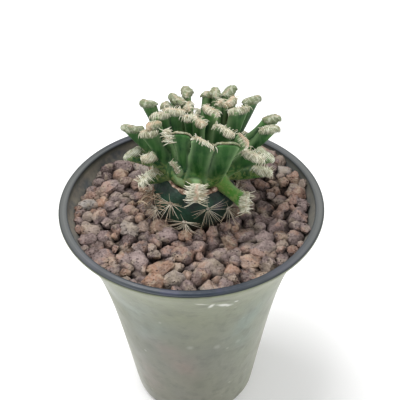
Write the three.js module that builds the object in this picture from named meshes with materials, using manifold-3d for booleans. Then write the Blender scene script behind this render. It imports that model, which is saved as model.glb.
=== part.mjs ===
import * as THREE from "three";
import { mergeVertices } from "three/addons/utils/BufferGeometryUtils.js";
import Module from "manifold-3d";

// A grafted cactus in its plastic pot. Millimetres, +Z up, the origin at the
// middle of the pot's underside. The front is towards -Y, and an azimuth is
// counted in degrees from the front towards +X.

const RIM = 80; // height of the pot
const RIM_RADIUS = 38;
const RIM_WIDTH = 2.6;
const FOOT_RADIUS = 20.6;
const TAPER = 0.116; // growth of the wall's radius for each millimetre of height
const FLARE = 8.8; // what the flare adds to the radius at the rim
const FLARE_RISE = 13.8; // height over which the flare fades by a factor of e
const WALL = 1.3;
const FLOOR = 1.6;
const ROUND_STEPS = 32;
const DRAIN_HOLES = 4;
const DRAIN_RADIUS = 3;
const DRAIN_CIRCLE = 12;
const GAP = 0.3; // clearance between pieces that rest against each other
const WELD = 0.005;

const GRAVEL_BASE = RIM - 8;
const GRAVEL_BED = RIM - 4.2; // level that the stones are sunk into
const GRAVEL_CEILING = RIM - 0.6;
const STONE_COUNT = 106;
const STONE_SIZE = 3.8; // half of a stone's width
const PLANTING_HOLE = 12.4;

const STOCK_CENTRE = [0.8, 1.5];
const STOCK_BOTTOM = RIM - 22;
const STOCK_CUT = RIM + 7.5; // level where the stock was cut for the graft
// Azimuth, height above the rim and distance from the stock's axis of each areole,
// an upper and a lower row of eight.
const STOCK_AREOLES = [
  [-35, 4.6, 11.2],
  [18, 3.6, 11.2],
  [72, 3.3, 11.4],
  [114, 3.6, 11.3],
  [158, 3.8, 11.3],
  [-158, 3.6, 11.3],
  [-118, 3.8, 11.3],
  [-78, 3.4, 11.4],
  [-60, 0.5, 12.5],
  [-13, 0.2, 12.4],
  [49, 1.5, 12.4],
  [94, 0.6, 12.2],
  [136, 0.5, 12.2],
  [180, 0.4, 12.2],
  [-138, 0.5, 12.2],
  [-98, 0.3, 12.2],
];
const STOCK_SPINES = 7;
const STOCK_SPINE_LENGTH = 5.4;
const SPINE_FLOOR = RIM - 0.9; // the lowest spines lie on the stones at this level

const SCION_AXIS = [2.5, 2.5];
const HEART_CENTRE = [1.8, 2.0];
const AREOLE_WIDTH = 2.8;
const COMB_SPINES = 3; // on each side of an areole
const COMB_SPINE_LENGTH = 1.8;
const SLIM = 1.2; // half of a tubercle's width where it is narrowest
const BROAD = 2.7;

// One row for each tubercle: azimuth and reach from the plant's axis, height
// above the rim, the azimuth that its end face looks to, how far that face is
// turned up (90 is level), how far the areole is turned from the line of that
// azimuth, the areole's length, and the neck.
const CROWN = [
  [0, 3.0, 26.5, 0, 75, 50, 4.5, SLIM],
  [98, 3.3, 27.5, 98, 80, -57, 6.0, SLIM],
  [-68, 2.6, 26.5, -68, 80, -32, 4.5, SLIM],
  [-142, 4.4, 27.0, -142, 85, -33, 5.0, SLIM],
  [127, 7.4, 27.5, 127, 85, 27, 3.4, SLIM],
  [-102, 6.8, 27.0, -102, 82, -9, 6.5, SLIM],
  [56, 7.8, 24.5, 56, 75, 7, 6.5, SLIM],
];
const SHOULDER = [
  [-36, 7.7, 24.5, 149, 64, -64, 6.0, BROAD],
  [6, 9.4, 24.0, 100, 67, -25, 7.0, BROAD],
  [34, 11.8, 23.5, -171, 66, 80, 7.6, BROAD],
  [-54, 10.3, 24.0, -34, 20, 33, 4.0, SLIM],
  [123, 10.1, 27.0, 123, 88, 18, 6.0, SLIM],
  [105, 11.1, 26.0, 105, 90, 10, 6.6, 1.9],
  [168, 10.8, 26.5, 168, 85, 0, 2.8, SLIM],
  [-145, 10.3, 26.5, -145, 88, 3, 7.0, SLIM],
  [-100, 10.5, 25.5, -100, 75, 0, 6.0, SLIM],
  [-121, 10.5, 26.5, -121, 80, -28, 2.6, SLIM],
  [58, 13.4, 23.0, 60, 43, -14, 4.6, SLIM],
];
const OUTER = [
  [158, 13.2, 26.0, 158, 85, 18, 6.4, SLIM],
  [146, 15.7, 26.0, 146, 85, 0, 7.0, 1.9],
  [-165, 12.5, 26.5, -165, 88, -10, 6.2, SLIM],
  [-127, 17.6, 24.0, -127, 84, 5, 5.7, SLIM],
  [125, 18.3, 24.5, 125, 88, 4, 6.5, 1.9],
  [-82, 13.6, 22.5, -82, 75, -13, 5.5, 1.9],
  [-85, 12.2, 24.5, -85, 75, 0, 4.5, SLIM],
  [107, 21.2, 21.0, 107, 86, -6, 5.6, SLIM],
  [99, 19.5, 19.5, 99, 86, 14, 6.6, SLIM],
  [-107, 19.5, 19.0, -107, 86, -2, 7.0, SLIM],
  [69, 15.2, 17.0, 42, 69, 25, 7.2, SLIM],
  [84, 18.4, 14.5, 67, 60, -8, 6.0, SLIM],
];
const LOW = [
  [76, 17.8, 11.0, 30, 73, 41, 5.8, SLIM],
  [47, 16.9, 5.5, 27, 32, -27, 6.0, SLIM],
  [-5, 13.2, 10.4, -5, 20, 0, 6.5, 1.9],
  [-78, 14.8, 8.5, -27, 60, -33, 7.0, 1.9],
  [-104, 19.8, 11.0, -65, 66, 0, 6.0, SLIM],
  [-81, 13.4, 15.0, -21, 68, -52, 6.2, SLIM],
  [-42, 9.8, 15.0, -36, 1, 51, 4.0, SLIM],
];
const BACK = [
  [178, 16.5, 17.0, 178, 65, 5, 6.5, SLIM],
  [-158, 18.0, 17.5, -158, 70, -5, 6.5, SLIM],
  [150, 19.0, 16.0, 150, 65, 0, 6.5, SLIM],
  [-140, 19.0, 12.0, -140, 50, 5, 6.5, SLIM],
  [168, 18.5, 10.0, 168, 35, 0, 6.0, SLIM],
  [130, 19.0, 11.0, 130, 45, -5, 6.5, SLIM],
  [-168, 17.5, 8.0, -168, 25, 0, 6.0, SLIM],
  [105, 16.5, 8.5, 105, 30, 0, 6.0, SLIM],
  [-125, 16.5, 7.0, -125, 20, 0, 6.0, SLIM],
];
const TUBERCLES = [...CROWN, ...SHOULDER, ...OUTER, ...LOW, ...BACK];

const wasm = await Module();
wasm.setup();
const UP = new THREE.Vector3(0, 0, 1);

// A closed solid from a geometry, with its shared corners merged.
function solidOf(geometry) {
  const bare = geometry.clone();
  bare.deleteAttribute("normal");
  bare.deleteAttribute("uv");
  const welded = mergeVertices(bare, 1e-4);
  const mesh = new wasm.Mesh({
    numProp: 3,
    vertProperties: new Float32Array(welded.attributes.position.array),
    triVerts: new Uint32Array(welded.index.array),
  });
  return new wasm.Manifold(mesh);
}

// The geometry of a solid, with one normal for each flat face. Corners closer than
// WELD become one, and the faces that this flattens are dropped.
function geometryOf(solid) {
  const mesh = solid.getMesh();
  const raw = new THREE.BufferGeometry();
  raw.setAttribute("position", new THREE.BufferAttribute(mesh.vertProperties, 3));
  raw.setIndex(new THREE.BufferAttribute(mesh.triVerts, 1));
  const half = WELD / 2;
  const once = mergeVertices(raw, WELD).translate(half, half, half);
  const welded = mergeVertices(once, WELD).translate(-half, -half, -half);
  const faces = new Map();
  for (let i = 0; i < welded.index.count; i += 3) {
    const face = [welded.index.getX(i), welded.index.getX(i + 1), welded.index.getX(i + 2)];
    if (new Set(face).size < 3) continue;
    const key = [...face].sort((a, b) => a - b).join(" ");
    if (faces.has(key)) faces.delete(key);
    else faces.set(key, face);
  }
  welded.setIndex([...faces.values()].flat());
  const faceted = welded.toNonIndexed();
  faceted.computeVertexNormals();
  return faceted;
}

function joined(solids) {
  return solids.reduce((whole, piece) => whole.add(piece));
}

// A solid of revolution about the Z axis from [radius, height] points that run
// up the outside.
function turned(profile, steps = ROUND_STEPS) {
  const points = profile.map(([radius, height]) => new THREE.Vector2(radius, height));
  return new THREE.LatheGeometry(points, steps).rotateX(Math.PI / 2);
}

// Repeatable random numbers from 0 to 1.
function randomFrom(seed) {
  let state = seed;
  return () => {
    state = (state * 1664525 + 1013904223) % 4294967296;
    return state / 4294967296;
  };
}

function outward(azimuth) {
  const angle = THREE.MathUtils.degToRad(azimuth);
  return new THREE.Vector3(Math.sin(angle), -Math.cos(angle), 0);
}

// A three-sided spine from its root to its tip.
function spine(root, tip, radius) {
  const run = tip.clone().sub(root);
  const length = run.length();
  const cone = new THREE.ConeGeometry(radius, length, 3).translate(0, length / 2, 0);
  const turn = new THREE.Quaternion().setFromUnitVectors(new THREE.Vector3(0, 1, 0), run.normalize());
  return solidOf(cone.applyQuaternion(turn).translate(root.x, root.y, root.z));
}

// Radius of the pot's outside: a plain cone with a flare that grows towards the rim.
function wallRadius(height) {
  return FOOT_RADIUS + TAPER * height + FLARE * Math.exp((height - RIM) / FLARE_RISE);
}

function innerRadius(height) {
  return wallRadius(height) - WALL;
}

function potGeometry() {
  const outside = [32, 50, 60, 67, 72.5, 76.5].map((height) => [wallRadius(height), height]);
  const inside = [77.5, 72, 64, 54, 36, FLOOR].map((height) => [innerRadius(height), height]);
  const shell = turned([
    [0, 0],
    [FOOT_RADIUS - 1.2, 0],
    [FOOT_RADIUS + 0.2, 1.4],
    ...outside,
    [RIM_RADIUS, RIM - 1.2],
    [RIM_RADIUS, RIM - 0.5],
    [RIM_RADIUS - 0.4, RIM],
    [RIM_RADIUS - RIM_WIDTH + 0.4, RIM],
    [RIM_RADIUS - RIM_WIDTH, RIM - 0.5],
    ...inside,
    [0, FLOOR],
  ]);
  const drill = new THREE.CylinderGeometry(DRAIN_RADIUS, DRAIN_RADIUS, 4 * FLOOR, 12).rotateX(Math.PI / 2);
  let pot = solidOf(shell);
  for (let i = 0; i < DRAIN_HOLES; i++) {
    const place = outward(45 + (360 / DRAIN_HOLES) * i).multiplyScalar(DRAIN_CIRCLE);
    pot = pot.subtract(solidOf(drill.clone().translate(place.x, place.y, FLOOR / 2)));
  }
  return geometryOf(pot);
}

// Outline of the stock from its root end to the flat cut, as [radius, height].
const STOCK_PROFILE = [
  [3.2, STOCK_BOTTOM],
  [5.6, RIM - 16],
  [8.6, RIM - 11.5],
  [10.2, RIM - 7.5],
  [11.1, RIM - 3.5],
  [11.4, RIM],
  [11.1, RIM + 3],
  [10.1, RIM + 5.4],
  [8.9, RIM + 7],
  [8.2, STOCK_CUT],
];

// The planting mix fills the pot up to the gravel and holds the stock's root end
// in a plain tapered hole.
function mixGeometry() {
  const top = GRAVEL_BASE - GAP;
  const side = [FLOOR + GAP, 36, 54, 64, top].map((height) => [innerRadius(height) - GAP, height]);
  const fill = turned([[0, FLOOR + GAP], ...side, [0, top]]);
  const wall = STOCK_PROFILE.slice(0, 4).map(([radius, height]) => [radius + 2 * GAP, height - GAP]);
  const mouth = [wall[3][0], GRAVEL_BASE + GAP];
  const socket = turned([[0, STOCK_BOTTOM - GAP], ...wall, mouth, [0, GRAVEL_BASE + GAP]]);
  socket.translate(STOCK_CENTRE[0], STOCK_CENTRE[1], 0);
  return geometryOf(solidOf(fill).subtract(solidOf(socket)));
}

// A rough stone: twenty faces, pulled out of round and turned at random. Its
// buried half is splayed, so no pocket is shut in between neighbours.
function stone(place, random) {
  const shape = new THREE.IcosahedronGeometry(1, 0);
  const size = STONE_SIZE * (0.85 + 0.35 * random());
  shape.rotateX(6.28 * random()).rotateY(6.28 * random());
  shape.scale(size, size * (0.75 + 0.25 * random()), size * (0.68 + 0.2 * random()));
  const at = shape.attributes.position;
  for (let i = 0; i < at.count; i++) {
    if (at.getZ(i) < 0) at.setXYZ(i, 1.25 * at.getX(i), 1.25 * at.getY(i), at.getZ(i) - 1);
  }
  shape.rotateZ(6.28 * random());
  shape.translate(place.x, place.y, place.z);
  return solidOf(shape);
}

// Top dressing: a bed with stones sunk into it on a sunflower spiral, cut to the
// pot's wall and open round the stock.
function gravelGeometry() {
  const random = randomFrom(11);
  const levels = [GRAVEL_BASE, 75, GRAVEL_CEILING];
  const mould = levels.map((height) => [innerRadius(height) - GAP, height]);
  const bedSide = [GRAVEL_BASE, GRAVEL_BED].map((height) => [innerRadius(height) - GAP, height]);
  const reach = innerRadius(GRAVEL_BED) - STONE_SIZE * 0.7;
  const stones = [solidOf(turned([[0, GRAVEL_BASE], ...bedSide, [0, GRAVEL_BED]]))];
  for (let i = 0; i < STONE_COUNT; i++) {
    const radius = reach * Math.sqrt((i + 0.5) / STONE_COUNT);
    const place = outward(137.508 * i + 12 * random()).multiplyScalar(radius + random() - 0.5);
    place.z = GRAVEL_BED - 0.6 * random();
    if (radius > PLANTING_HOLE - 1) stones.push(stone(place, random));
  }
  const hole = new THREE.CylinderGeometry(PLANTING_HOLE, PLANTING_HOLE, 30, 28).rotateX(Math.PI / 2);
  hole.translate(STOCK_CENTRE[0], STOCK_CENTRE[1], RIM);
  const within = solidOf(turned([[0, GRAVEL_BASE], ...mould, [0, GRAVEL_CEILING]]));
  return geometryOf(joined(stones).intersect(within).subtract(solidOf(hole)));
}

// Low rounded swelling of the stock round each of its areoles.
function stockSwelling(azimuth, height) {
  let swell = 0;
  for (const [centre, level] of STOCK_AREOLES) {
    const offset = ((azimuth - centre + 540) % 360) - 180;
    swell += Math.exp(-((offset / 13) ** 2) - ((height - RIM - level) / 2.4) ** 2);
  }
  return swell;
}

// The grafting stock: a short ribbed body with its root end in the mix, cut flat
// on top, and a star of spines on each areole.
function stockGeometry() {
  const body = turned([[0, STOCK_BOTTOM], ...STOCK_PROFILE, [0, STOCK_CUT]]);
  const at = body.attributes.position;
  for (let i = 0; i < at.count; i++) {
    const azimuth = THREE.MathUtils.radToDeg(Math.atan2(at.getX(i), -at.getY(i)));
    const radius = Math.hypot(at.getX(i), at.getY(i));
    const grow = radius > 4 ? 1 + (0.75 * stockSwelling(azimuth, at.getZ(i))) / radius : 1;
    at.setXY(i, at.getX(i) * grow, at.getY(i) * grow);
  }
  const pieces = [solidOf(body)];
  for (const [azimuth, level, girth] of STOCK_AREOLES) {
    const normal = outward(azimuth);
    const areole = normal.clone().multiplyScalar(girth).setZ(RIM + level);
    const aside = new THREE.Vector3().crossVectors(UP, normal);
    for (let k = 0; k < STOCK_SPINES; k++) {
      const turn = ((k + 0.5) / STOCK_SPINES) * 2 * Math.PI;
      const rise = Math.sin(turn) > 0 ? 0.3 * Math.sin(turn) : Math.sin(turn);
      const tip = areole.clone().addScaledVector(normal, 0.38 * STOCK_SPINE_LENGTH);
      tip.addScaledVector(aside, 0.9 * STOCK_SPINE_LENGTH * Math.cos(turn));
      tip.z = Math.max(tip.z + 0.9 * STOCK_SPINE_LENGTH * rise, SPINE_FLOOR);
      pieces.push(spine(areole.clone().addScaledVector(normal, -0.9), tip, 0.42));
    }
  }
  return geometryOf(joined(pieces)).translate(STOCK_CENTRE[0], STOCK_CENTRE[1], 0);
}

// Where a tubercle ends and how its end face lies: normal faces out of it, long
// runs along the areole and across over it.
function tubercleFrame([azimuth, reach, height, facing, lift, twist, length, neck]) {
  const away = outward(azimuth);
  const ahead = outward(facing);
  const tip = away.clone().multiplyScalar(reach);
  tip.add(new THREE.Vector3(SCION_AXIS[0], SCION_AXIS[1], RIM + height));
  const angle = THREE.MathUtils.degToRad(lift);
  const normal = ahead.clone().multiplyScalar(Math.cos(angle)).addScaledVector(UP, Math.sin(angle));
  const down = ahead.clone().multiplyScalar(Math.sin(angle)).addScaledVector(UP, -Math.cos(angle));
  const long = down.applyAxisAngle(normal, THREE.MathUtils.degToRad(twist));
  const across = new THREE.Vector3().crossVectors(normal, long);
  const root = away.clone().multiplyScalar(Math.min(6, 0.55 * reach));
  const rootHeight = RIM + Math.max(9.8, 15 - 0.6 * reach);
  root.add(new THREE.Vector3(HEART_CENTRE[0], HEART_CENTRE[1], rootHeight));
  return { root, tip, normal, long, across, length, neck };
}

// Value at t of a curve that starts at a, heads for b and ends at c.
function easeThrough(a, b, c, t) {
  return a * (1 - t) ** 2 + 2 * b * t * (1 - t) + c * t ** 2;
}

// Rings of a tubercle from its root to its end face: the place along it, half of
// its width and thickness there, and how far the ring is raised off the face.
function tubercleRings(length, neck) {
  const rings = [0, 0.45, 0.86].map((t) => [
    t,
    easeThrough(3.1, neck, 0.38 * length, t),
    easeThrough(2.8, SLIM, 0.44 * AREOLE_WIDTH, t),
    0,
  ]);
  rings.push([1, 0.54 * length, 0.54 * AREOLE_WIDTH, 0]);
  rings.push([1, 0.38 * length, 0.32 * AREOLE_WIDTH, 0.8]);
  return rings;
}

// A tubercle: a flattened finger that leaves the heart of the plant, narrows and
// widens again into its long cushioned end.
function tubercle({ root, tip, normal, long, length, neck }) {
  const run = tip.clone().sub(root);
  const bend = 0.5 * run.length();
  const towards = run.normalize().multiplyScalar(1.3).add(normal).normalize();
  const middle = tip.clone().addScaledVector(towards, -bend);
  const curve = new THREE.QuadraticBezierCurve3(root, middle, tip);
  const rings = tubercleRings(length, neck);
  const shape = new THREE.CylinderGeometry(1, 1, 1, 8, rings.length - 1, false, Math.PI / 8);
  const at = shape.attributes.position;
  for (let i = 0; i < at.count; i++) {
    const [t, halfWide, halfThin, raised] = rings[Math.round((at.getY(i) + 0.5) * (rings.length - 1))];
    const along = curve.getTangent(t).lerp(normal, t ** 2).normalize();
    const wide = long.clone().addScaledVector(along, -long.dot(along)).normalize();
    const thin = new THREE.Vector3().crossVectors(wide, along);
    const onAxis = Math.hypot(at.getX(i), at.getZ(i)) < 0.5;
    const point = curve.getPoint(t).addScaledVector(wide, halfWide * at.getX(i));
    point.addScaledVector(thin, halfThin * at.getZ(i));
    point.addScaledVector(normal, onAxis ? 1.3 * raised : raised);
    at.setXYZ(i, point.x, point.y, point.z);
  }
  return solidOf(shape);
}

// The comb of short spines along both sides of a tubercle's end.
function combSpines({ tip, normal, long, across, length }) {
  const spines = [];
  for (let i = 0; i < COMB_SPINES; i++) {
    const place = (i + 0.5) / COMB_SPINES - 0.5;
    for (const side of [-1, 1]) {
      const root = tip.clone().addScaledVector(long, 0.85 * length * place);
      root.addScaledVector(across, side * 0.3 * AREOLE_WIDTH).addScaledVector(normal, -0.5);
      const end = root.clone().addScaledVector(across, side * COMB_SPINE_LENGTH);
      end.addScaledVector(long, 1.2 * place).addScaledVector(normal, -0.1);
      spines.push(spine(root, end, 0.38));
    }
  }
  return spines;
}

// The grafted plant: a small round heart with flattened tubercles all round it.
function scionGeometry() {
  const base = STOCK_CUT + GAP;
  const profile = [
    [0, base],
    [8.2, base],
    [8.9, base + 1.2],
    [8.4, base + 3.6],
    [6.8, base + 6.5],
    [3.8, base + 9],
    [0, base + 10],
  ];
  const heart = turned(profile, 20).translate(HEART_CENTRE[0], HEART_CENTRE[1], 0);
  const pieces = [solidOf(heart)];
  for (const row of TUBERCLES) {
    const frame = tubercleFrame(row);
    pieces.push(joined([tubercle(frame), ...combSpines(frame)]));
  }
  const shoulder = STOCK_PROFILE.slice(5).map(([radius, height]) => [radius + GAP, height + GAP]);
  const seat = turned([[0, RIM], ...shoulder, [0, base]]).translate(STOCK_CENTRE[0], STOCK_CENTRE[1], 0);
  return geometryOf(joined(pieces).subtract(solidOf(seat)));
}

const finishes = {
  pot: { color: 0x9c9686, roughness: 0.55 },
  mix: { color: 0x3b2c22, roughness: 0.95 },
  gravel: { color: 0x8c6f66, roughness: 0.92 },
  stock: { color: 0x2f4f3a, roughness: 0.6 },
  scion: { color: 0x47713f, roughness: 0.6 },
};

function piece(name, geometry, finish) {
  const material = new THREE.MeshStandardMaterial({ ...finishes[finish], metalness: 0 });
  const mesh = new THREE.Mesh(geometry, material);
  mesh.name = name;
  return mesh;
}

const pottedCactus = new THREE.Group();
pottedCactus.add(piece("pot", potGeometry(), "pot"));
pottedCactus.add(piece("potting_mix", mixGeometry(), "mix"));
pottedCactus.add(piece("gravel", gravelGeometry(), "gravel"));
pottedCactus.add(piece("rootstock", stockGeometry(), "stock"));
pottedCactus.add(piece("scion", scionGeometry(), "scion"));

export default pottedCactus;
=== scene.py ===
import bpy
import numpy as np
from mathutils import Matrix, Vector


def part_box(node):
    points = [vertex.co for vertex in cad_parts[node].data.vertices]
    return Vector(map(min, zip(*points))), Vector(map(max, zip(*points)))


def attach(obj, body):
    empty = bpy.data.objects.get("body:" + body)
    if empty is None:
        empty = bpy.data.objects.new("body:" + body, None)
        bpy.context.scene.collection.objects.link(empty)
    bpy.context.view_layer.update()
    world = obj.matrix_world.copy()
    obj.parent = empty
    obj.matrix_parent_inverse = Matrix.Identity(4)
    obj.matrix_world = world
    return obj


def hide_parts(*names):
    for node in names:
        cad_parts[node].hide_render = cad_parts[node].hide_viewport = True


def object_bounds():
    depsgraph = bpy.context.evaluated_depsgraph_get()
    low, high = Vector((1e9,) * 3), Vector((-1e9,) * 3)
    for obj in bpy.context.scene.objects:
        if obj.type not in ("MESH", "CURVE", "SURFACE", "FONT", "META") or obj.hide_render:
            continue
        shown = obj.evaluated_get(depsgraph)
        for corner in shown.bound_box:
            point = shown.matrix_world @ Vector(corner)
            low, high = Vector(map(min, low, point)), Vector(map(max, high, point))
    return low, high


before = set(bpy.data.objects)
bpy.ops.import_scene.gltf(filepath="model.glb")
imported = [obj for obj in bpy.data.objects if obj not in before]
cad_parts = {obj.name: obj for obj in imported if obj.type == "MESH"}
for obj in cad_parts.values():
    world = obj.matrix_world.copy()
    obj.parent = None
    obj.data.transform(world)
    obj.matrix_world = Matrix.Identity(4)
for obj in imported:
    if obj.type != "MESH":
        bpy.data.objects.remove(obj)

cad_low, cad_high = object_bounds()
MM = 0.001


# Pot. One moulded piece of thin frosted plastic, a plain cone that flares like a
# trumpet to a slate-blue lip, with four drain holes in its floor. It stands on
# the floor and everything else is held in it.
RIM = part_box("pot")[1][2]
RIM_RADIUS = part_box("pot")[1][0]
RIM_WIDTH = 2.6 * MM
FOOT_RADIUS = 20.6 * MM
TAPER = 0.116
FLARE = 8.8 * MM
FLARE_RISE = 13.8 * MM
WALL = 1.3 * MM
POT_FLOOR = 1.6 * MM
FOOT_ROUND = 2.8 * MM
OUTER_END = RIM - 3.0 * MM  # where the flaring wall meets the lip, outside and inside
INNER_END = RIM - 2.5 * MM
LIP_ROUND = 0.5 * MM
LIP_INNER_ROUND = 0.4 * MM
GROOVE_DEPTH = 0.22 * MM
DRAIN_HOLES = 4
DRAIN_RADIUS = 3.0 * MM
DRAIN_CIRCLE = 12.0 * MM
DRAIN_STEPS = 40
POT_STEPS = 160
LIP_DEPTH = 0.2 * MM  # how far down the outside the slate colour of the lip reaches
SLATE = (0.02, 0.028, 0.046)
SLATE_LIGHT = (0.036, 0.046, 0.062)
VIOLET_HIGHLIGHT = (0.05, 0.052, 0.095)
LIP_SHEEN_GREY = (0.135, 0.14, 0.135)
KHAKI_TOP = (0.215, 0.235, 0.148)
KHAKI_MIDDLE = (0.163, 0.171, 0.138)
KHAKI_LOW = (0.185, 0.18, 0.147)
# soft patches in the plastic: azimuth, height, and how far they reach in degrees and mm
TEAL_PATCHES = [(-32, 56, 14, 11), (34, 53, 12, 13), (110, 40, 20, 12), (-120, 60, 18, 9),
                (170, 30, 20, 14)]
UMBER_PATCHES = [(-20, 41, 10, 5), (-40, 19, 10, 7), (-7, 30, 10, 8), (75, 26, 14, 8), (-150, 35, 16, 9)]
DARK_SPOTS = [(-13, 65.5, 4, 2.2), (-10.5, 53.5, 5, 2.5), (12.5, 39.5, 4.5, 2.4), (-31, 40, 5, 2.6),
              (24, 58, 4, 2), (3, 22, 6, 3), (95, 55, 6, 3), (-95, 45, 5, 3), (150, 62, 5, 2.5)]
# marks on the front in mm: x and height of the middle, half of the length and height
PALE_SPECKS = [(-1.3, 45, 1.4, 1.4), (6.6, 43.8, 1.3, 1.8), (13, 42.8, 1.2, 1.2), (-9.5, 58, 0.6, 0.8)]
SCUFF_TILT = -0.43  # the scratches under the lip run down to the right
SCUFF_LINE = [(6.9, 74.3, 5.0, 1.5)]
SCUFF_HAZE = [(6.5, 76.6, 4.2, 2.4)]
# whitened scratches, partly a painted highlight
SCRATCHES_AND_HIGHLIGHT = [(2, 73.6, 2.4, 0.45), (4.6, 71, 0.8, 2), (8, 70, 3, 0.75), (11.2, 70.6, 0.7, 0.9)]


def wall_radius(height):
    """Outer radius: foot radius + taper x height + flare x e^((height - rim) / rise)."""
    return FOOT_RADIUS + TAPER * height + FLARE * np.exp((height - RIM) / FLARE_RISE)


def make_piece(name, verts, faces, smooth_angle=40):
    """Mesh object at the origin from an (n, 3) array and faces, smooth where it bends little."""
    mesh = bpy.data.meshes.new(name)
    mesh.from_pydata(np.asarray(verts, float).tolist(), [], [list(map(int, f)) for f in faces])
    mesh.shade_smooth()
    mesh.set_sharp_from_angle(angle=np.radians(smooth_angle))
    mesh.update()
    made = bpy.data.objects.new(name, mesh)
    bpy.context.scene.collection.objects.link(made)
    return made


def points_of(piece):
    """The piece's vertices as an (n, 3) array."""
    coords = np.empty(len(piece.data.vertices) * 3)
    piece.data.vertices.foreach_get("co", coords)
    return coords.reshape(-1, 3)


def set_attributes(piece, **attributes):
    """Numbers for each vertex, for the material to read."""
    for name, values in attributes.items():
        attribute = piece.data.attributes.new(name, "FLOAT", "POINT")
        attribute.data.foreach_set("value", np.asarray(values, np.float32))


def circle(steps):
    """Angles evenly round a circle, in radians."""
    return np.arange(steps) * 2 * np.pi / steps


def azimuth_of(points):
    """Degrees from the front towards +X."""
    return np.degrees(np.arctan2(points[:, 0], -points[:, 1]))


def grid_faces(rings, steps):
    """Quads between neighbouring rings, and fans from the first and last ring to the two
    end points that follow the rings in the vertex list."""
    row, step = np.indices((rings - 1, steps)).reshape(2, -1)
    a = row * steps + step
    b = row * steps + (step + 1) % steps
    first = np.arange(steps)
    after = (first + 1) % steps
    top = (rings - 1) * steps
    start = np.stack([np.full(steps, rings * steps), after, first], -1)
    end = np.stack([np.full(steps, rings * steps + 1), top + first, top + after], -1)
    return np.stack([a, b, b + steps, a + steps], -1).tolist() + start.tolist() + end.tolist()


def revolve(profile, steps):
    """Closed solid of revolution from (radius, height) points that start and end on the
    axis: ring i has its points at radius x (sin a, -cos a), and each end is one point."""
    inner = np.asarray(profile[1:-1])
    radius, level = inner[:, :1], inner[:, 1:]
    angle = circle(steps)
    rings = np.stack([radius * np.sin(angle), -radius * np.cos(angle), level + 0 * angle], -1)
    ends = [(0, 0, profile[0][1]), (0, 0, profile[-1][1])]
    return np.vstack([rings.reshape(-1, 3), ends]), grid_faces(len(inner), steps)


def opaque(colour):
    """A colour with its alpha of 1. A socket or a full colour is left as it is."""
    return colour + (1,) if isinstance(colour, tuple) and len(colour) == 3 else colour


class Shading:
    """A shader node tree that nodes are added to. Each call returns an output socket."""

    def __init__(self, tree):
        self.tree = tree

    def node(self, kind, output=0, settings=None, **inputs):
        """Adds a node. An input, by its name or _number, is a value or another socket."""
        made = self.tree.nodes.new("ShaderNode" + kind)
        for key, value in (settings or {}).items():
            setattr(made, key, value)
        for key, value in inputs.items():
            target = made.inputs[int(key[1:]) if key[1:].isdigit() else key.replace("_", " ")]
            if isinstance(value, bpy.types.NodeSocket):
                self.tree.links.new(value, target)
            else:
                target.default_value = value
        return made.outputs[output]

    def maths(self, operation, *values, kind="Math", output=0, **settings):
        inputs = {f"_{i}": value for i, value in enumerate(values)}
        return self.node(kind, output, {"operation": operation, **settings}, **inputs)

    def times(self, first, *others):
        for other in others:
            first = self.maths("MULTIPLY", first, other)
        return first

    def mix(self, factor, first, second):
        return self.node("Mix", 2, {"data_type": "RGBA"}, _0=factor, _6=opaque(first), _7=opaque(second))

    def ramp(self, factor, *stops):
        """Colour ramp from (position, colour) stops. A plain number stands for a grey."""
        made = self.node("ValToRGB", Fac=factor)
        elements = made.node.color_ramp.elements
        while len(elements) < len(stops):
            elements.new(0.5)
        for element, (position, colour) in zip(elements, stops):
            element.position = position
            element.color = opaque(colour if isinstance(colour, tuple) else (colour,) * 3)
        return made


def shared_effect(name, **inputs):
    """A node group with named inputs and a Mask output: its shading, inputs and Mask."""
    group = bpy.data.node_groups.new(name, "ShaderNodeTree")
    for key, kind in inputs.items():
        group.interface.new_socket(key, in_out="INPUT", socket_type="NodeSocket" + kind)
    group.interface.new_socket("Mask", in_out="OUTPUT", socket_type="NodeSocketFloat")
    given = group.nodes.new("NodeGroupInput").outputs
    return Shading(group), given, group.nodes.new("NodeGroupOutput").inputs["Mask"]


def mottle_group():
    """Shared effect: soft blotches over the surface. Noise of the given scale, spread from
    0 to 1 about its middle by the contrast."""
    inner, given, mask = shared_effect("soft_mottle", Place="Vector", Scale="Float", Contrast="Float")
    noise = inner.node("TexNoise", "Fac", Vector=given["Place"], Scale=given["Scale"], Detail=4)
    centred = inner.maths("SUBTRACT", noise, 0.5)
    spread = inner.maths("MULTIPLY_ADD", centred, given["Contrast"], 0.5, use_clamp=True)
    inner.tree.links.new(spread, mask)
    return inner.tree


def front_mark_group():
    """Shared effect: a soft elliptical mark on the front. 1 in its middle, 0 at its edge;
    Sharpness is one over half of its length and height."""
    inner, given, mask = shared_effect("front_mark", Place="Vector", Centre="Vector", Sharpness="Vector")
    off = inner.maths("SUBTRACT", given["Place"], given["Centre"], kind="VectorMath")
    scaled = inner.maths("MULTIPLY", off, given["Sharpness"], kind="VectorMath")
    far = inner.maths("LENGTH", scaled, kind="VectorMath", output="Value")
    front = inner.maths("LESS_THAN", inner.node("SeparateXYZ", "Y", Vector=given["Place"]), 0)
    inner.tree.links.new(inner.times(inner.ramp(far, (0.35, 1), (1, 0)), front), mask)
    return inner.tree


MOTTLE = mottle_group()
FRONT_MARK = front_mark_group()


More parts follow.
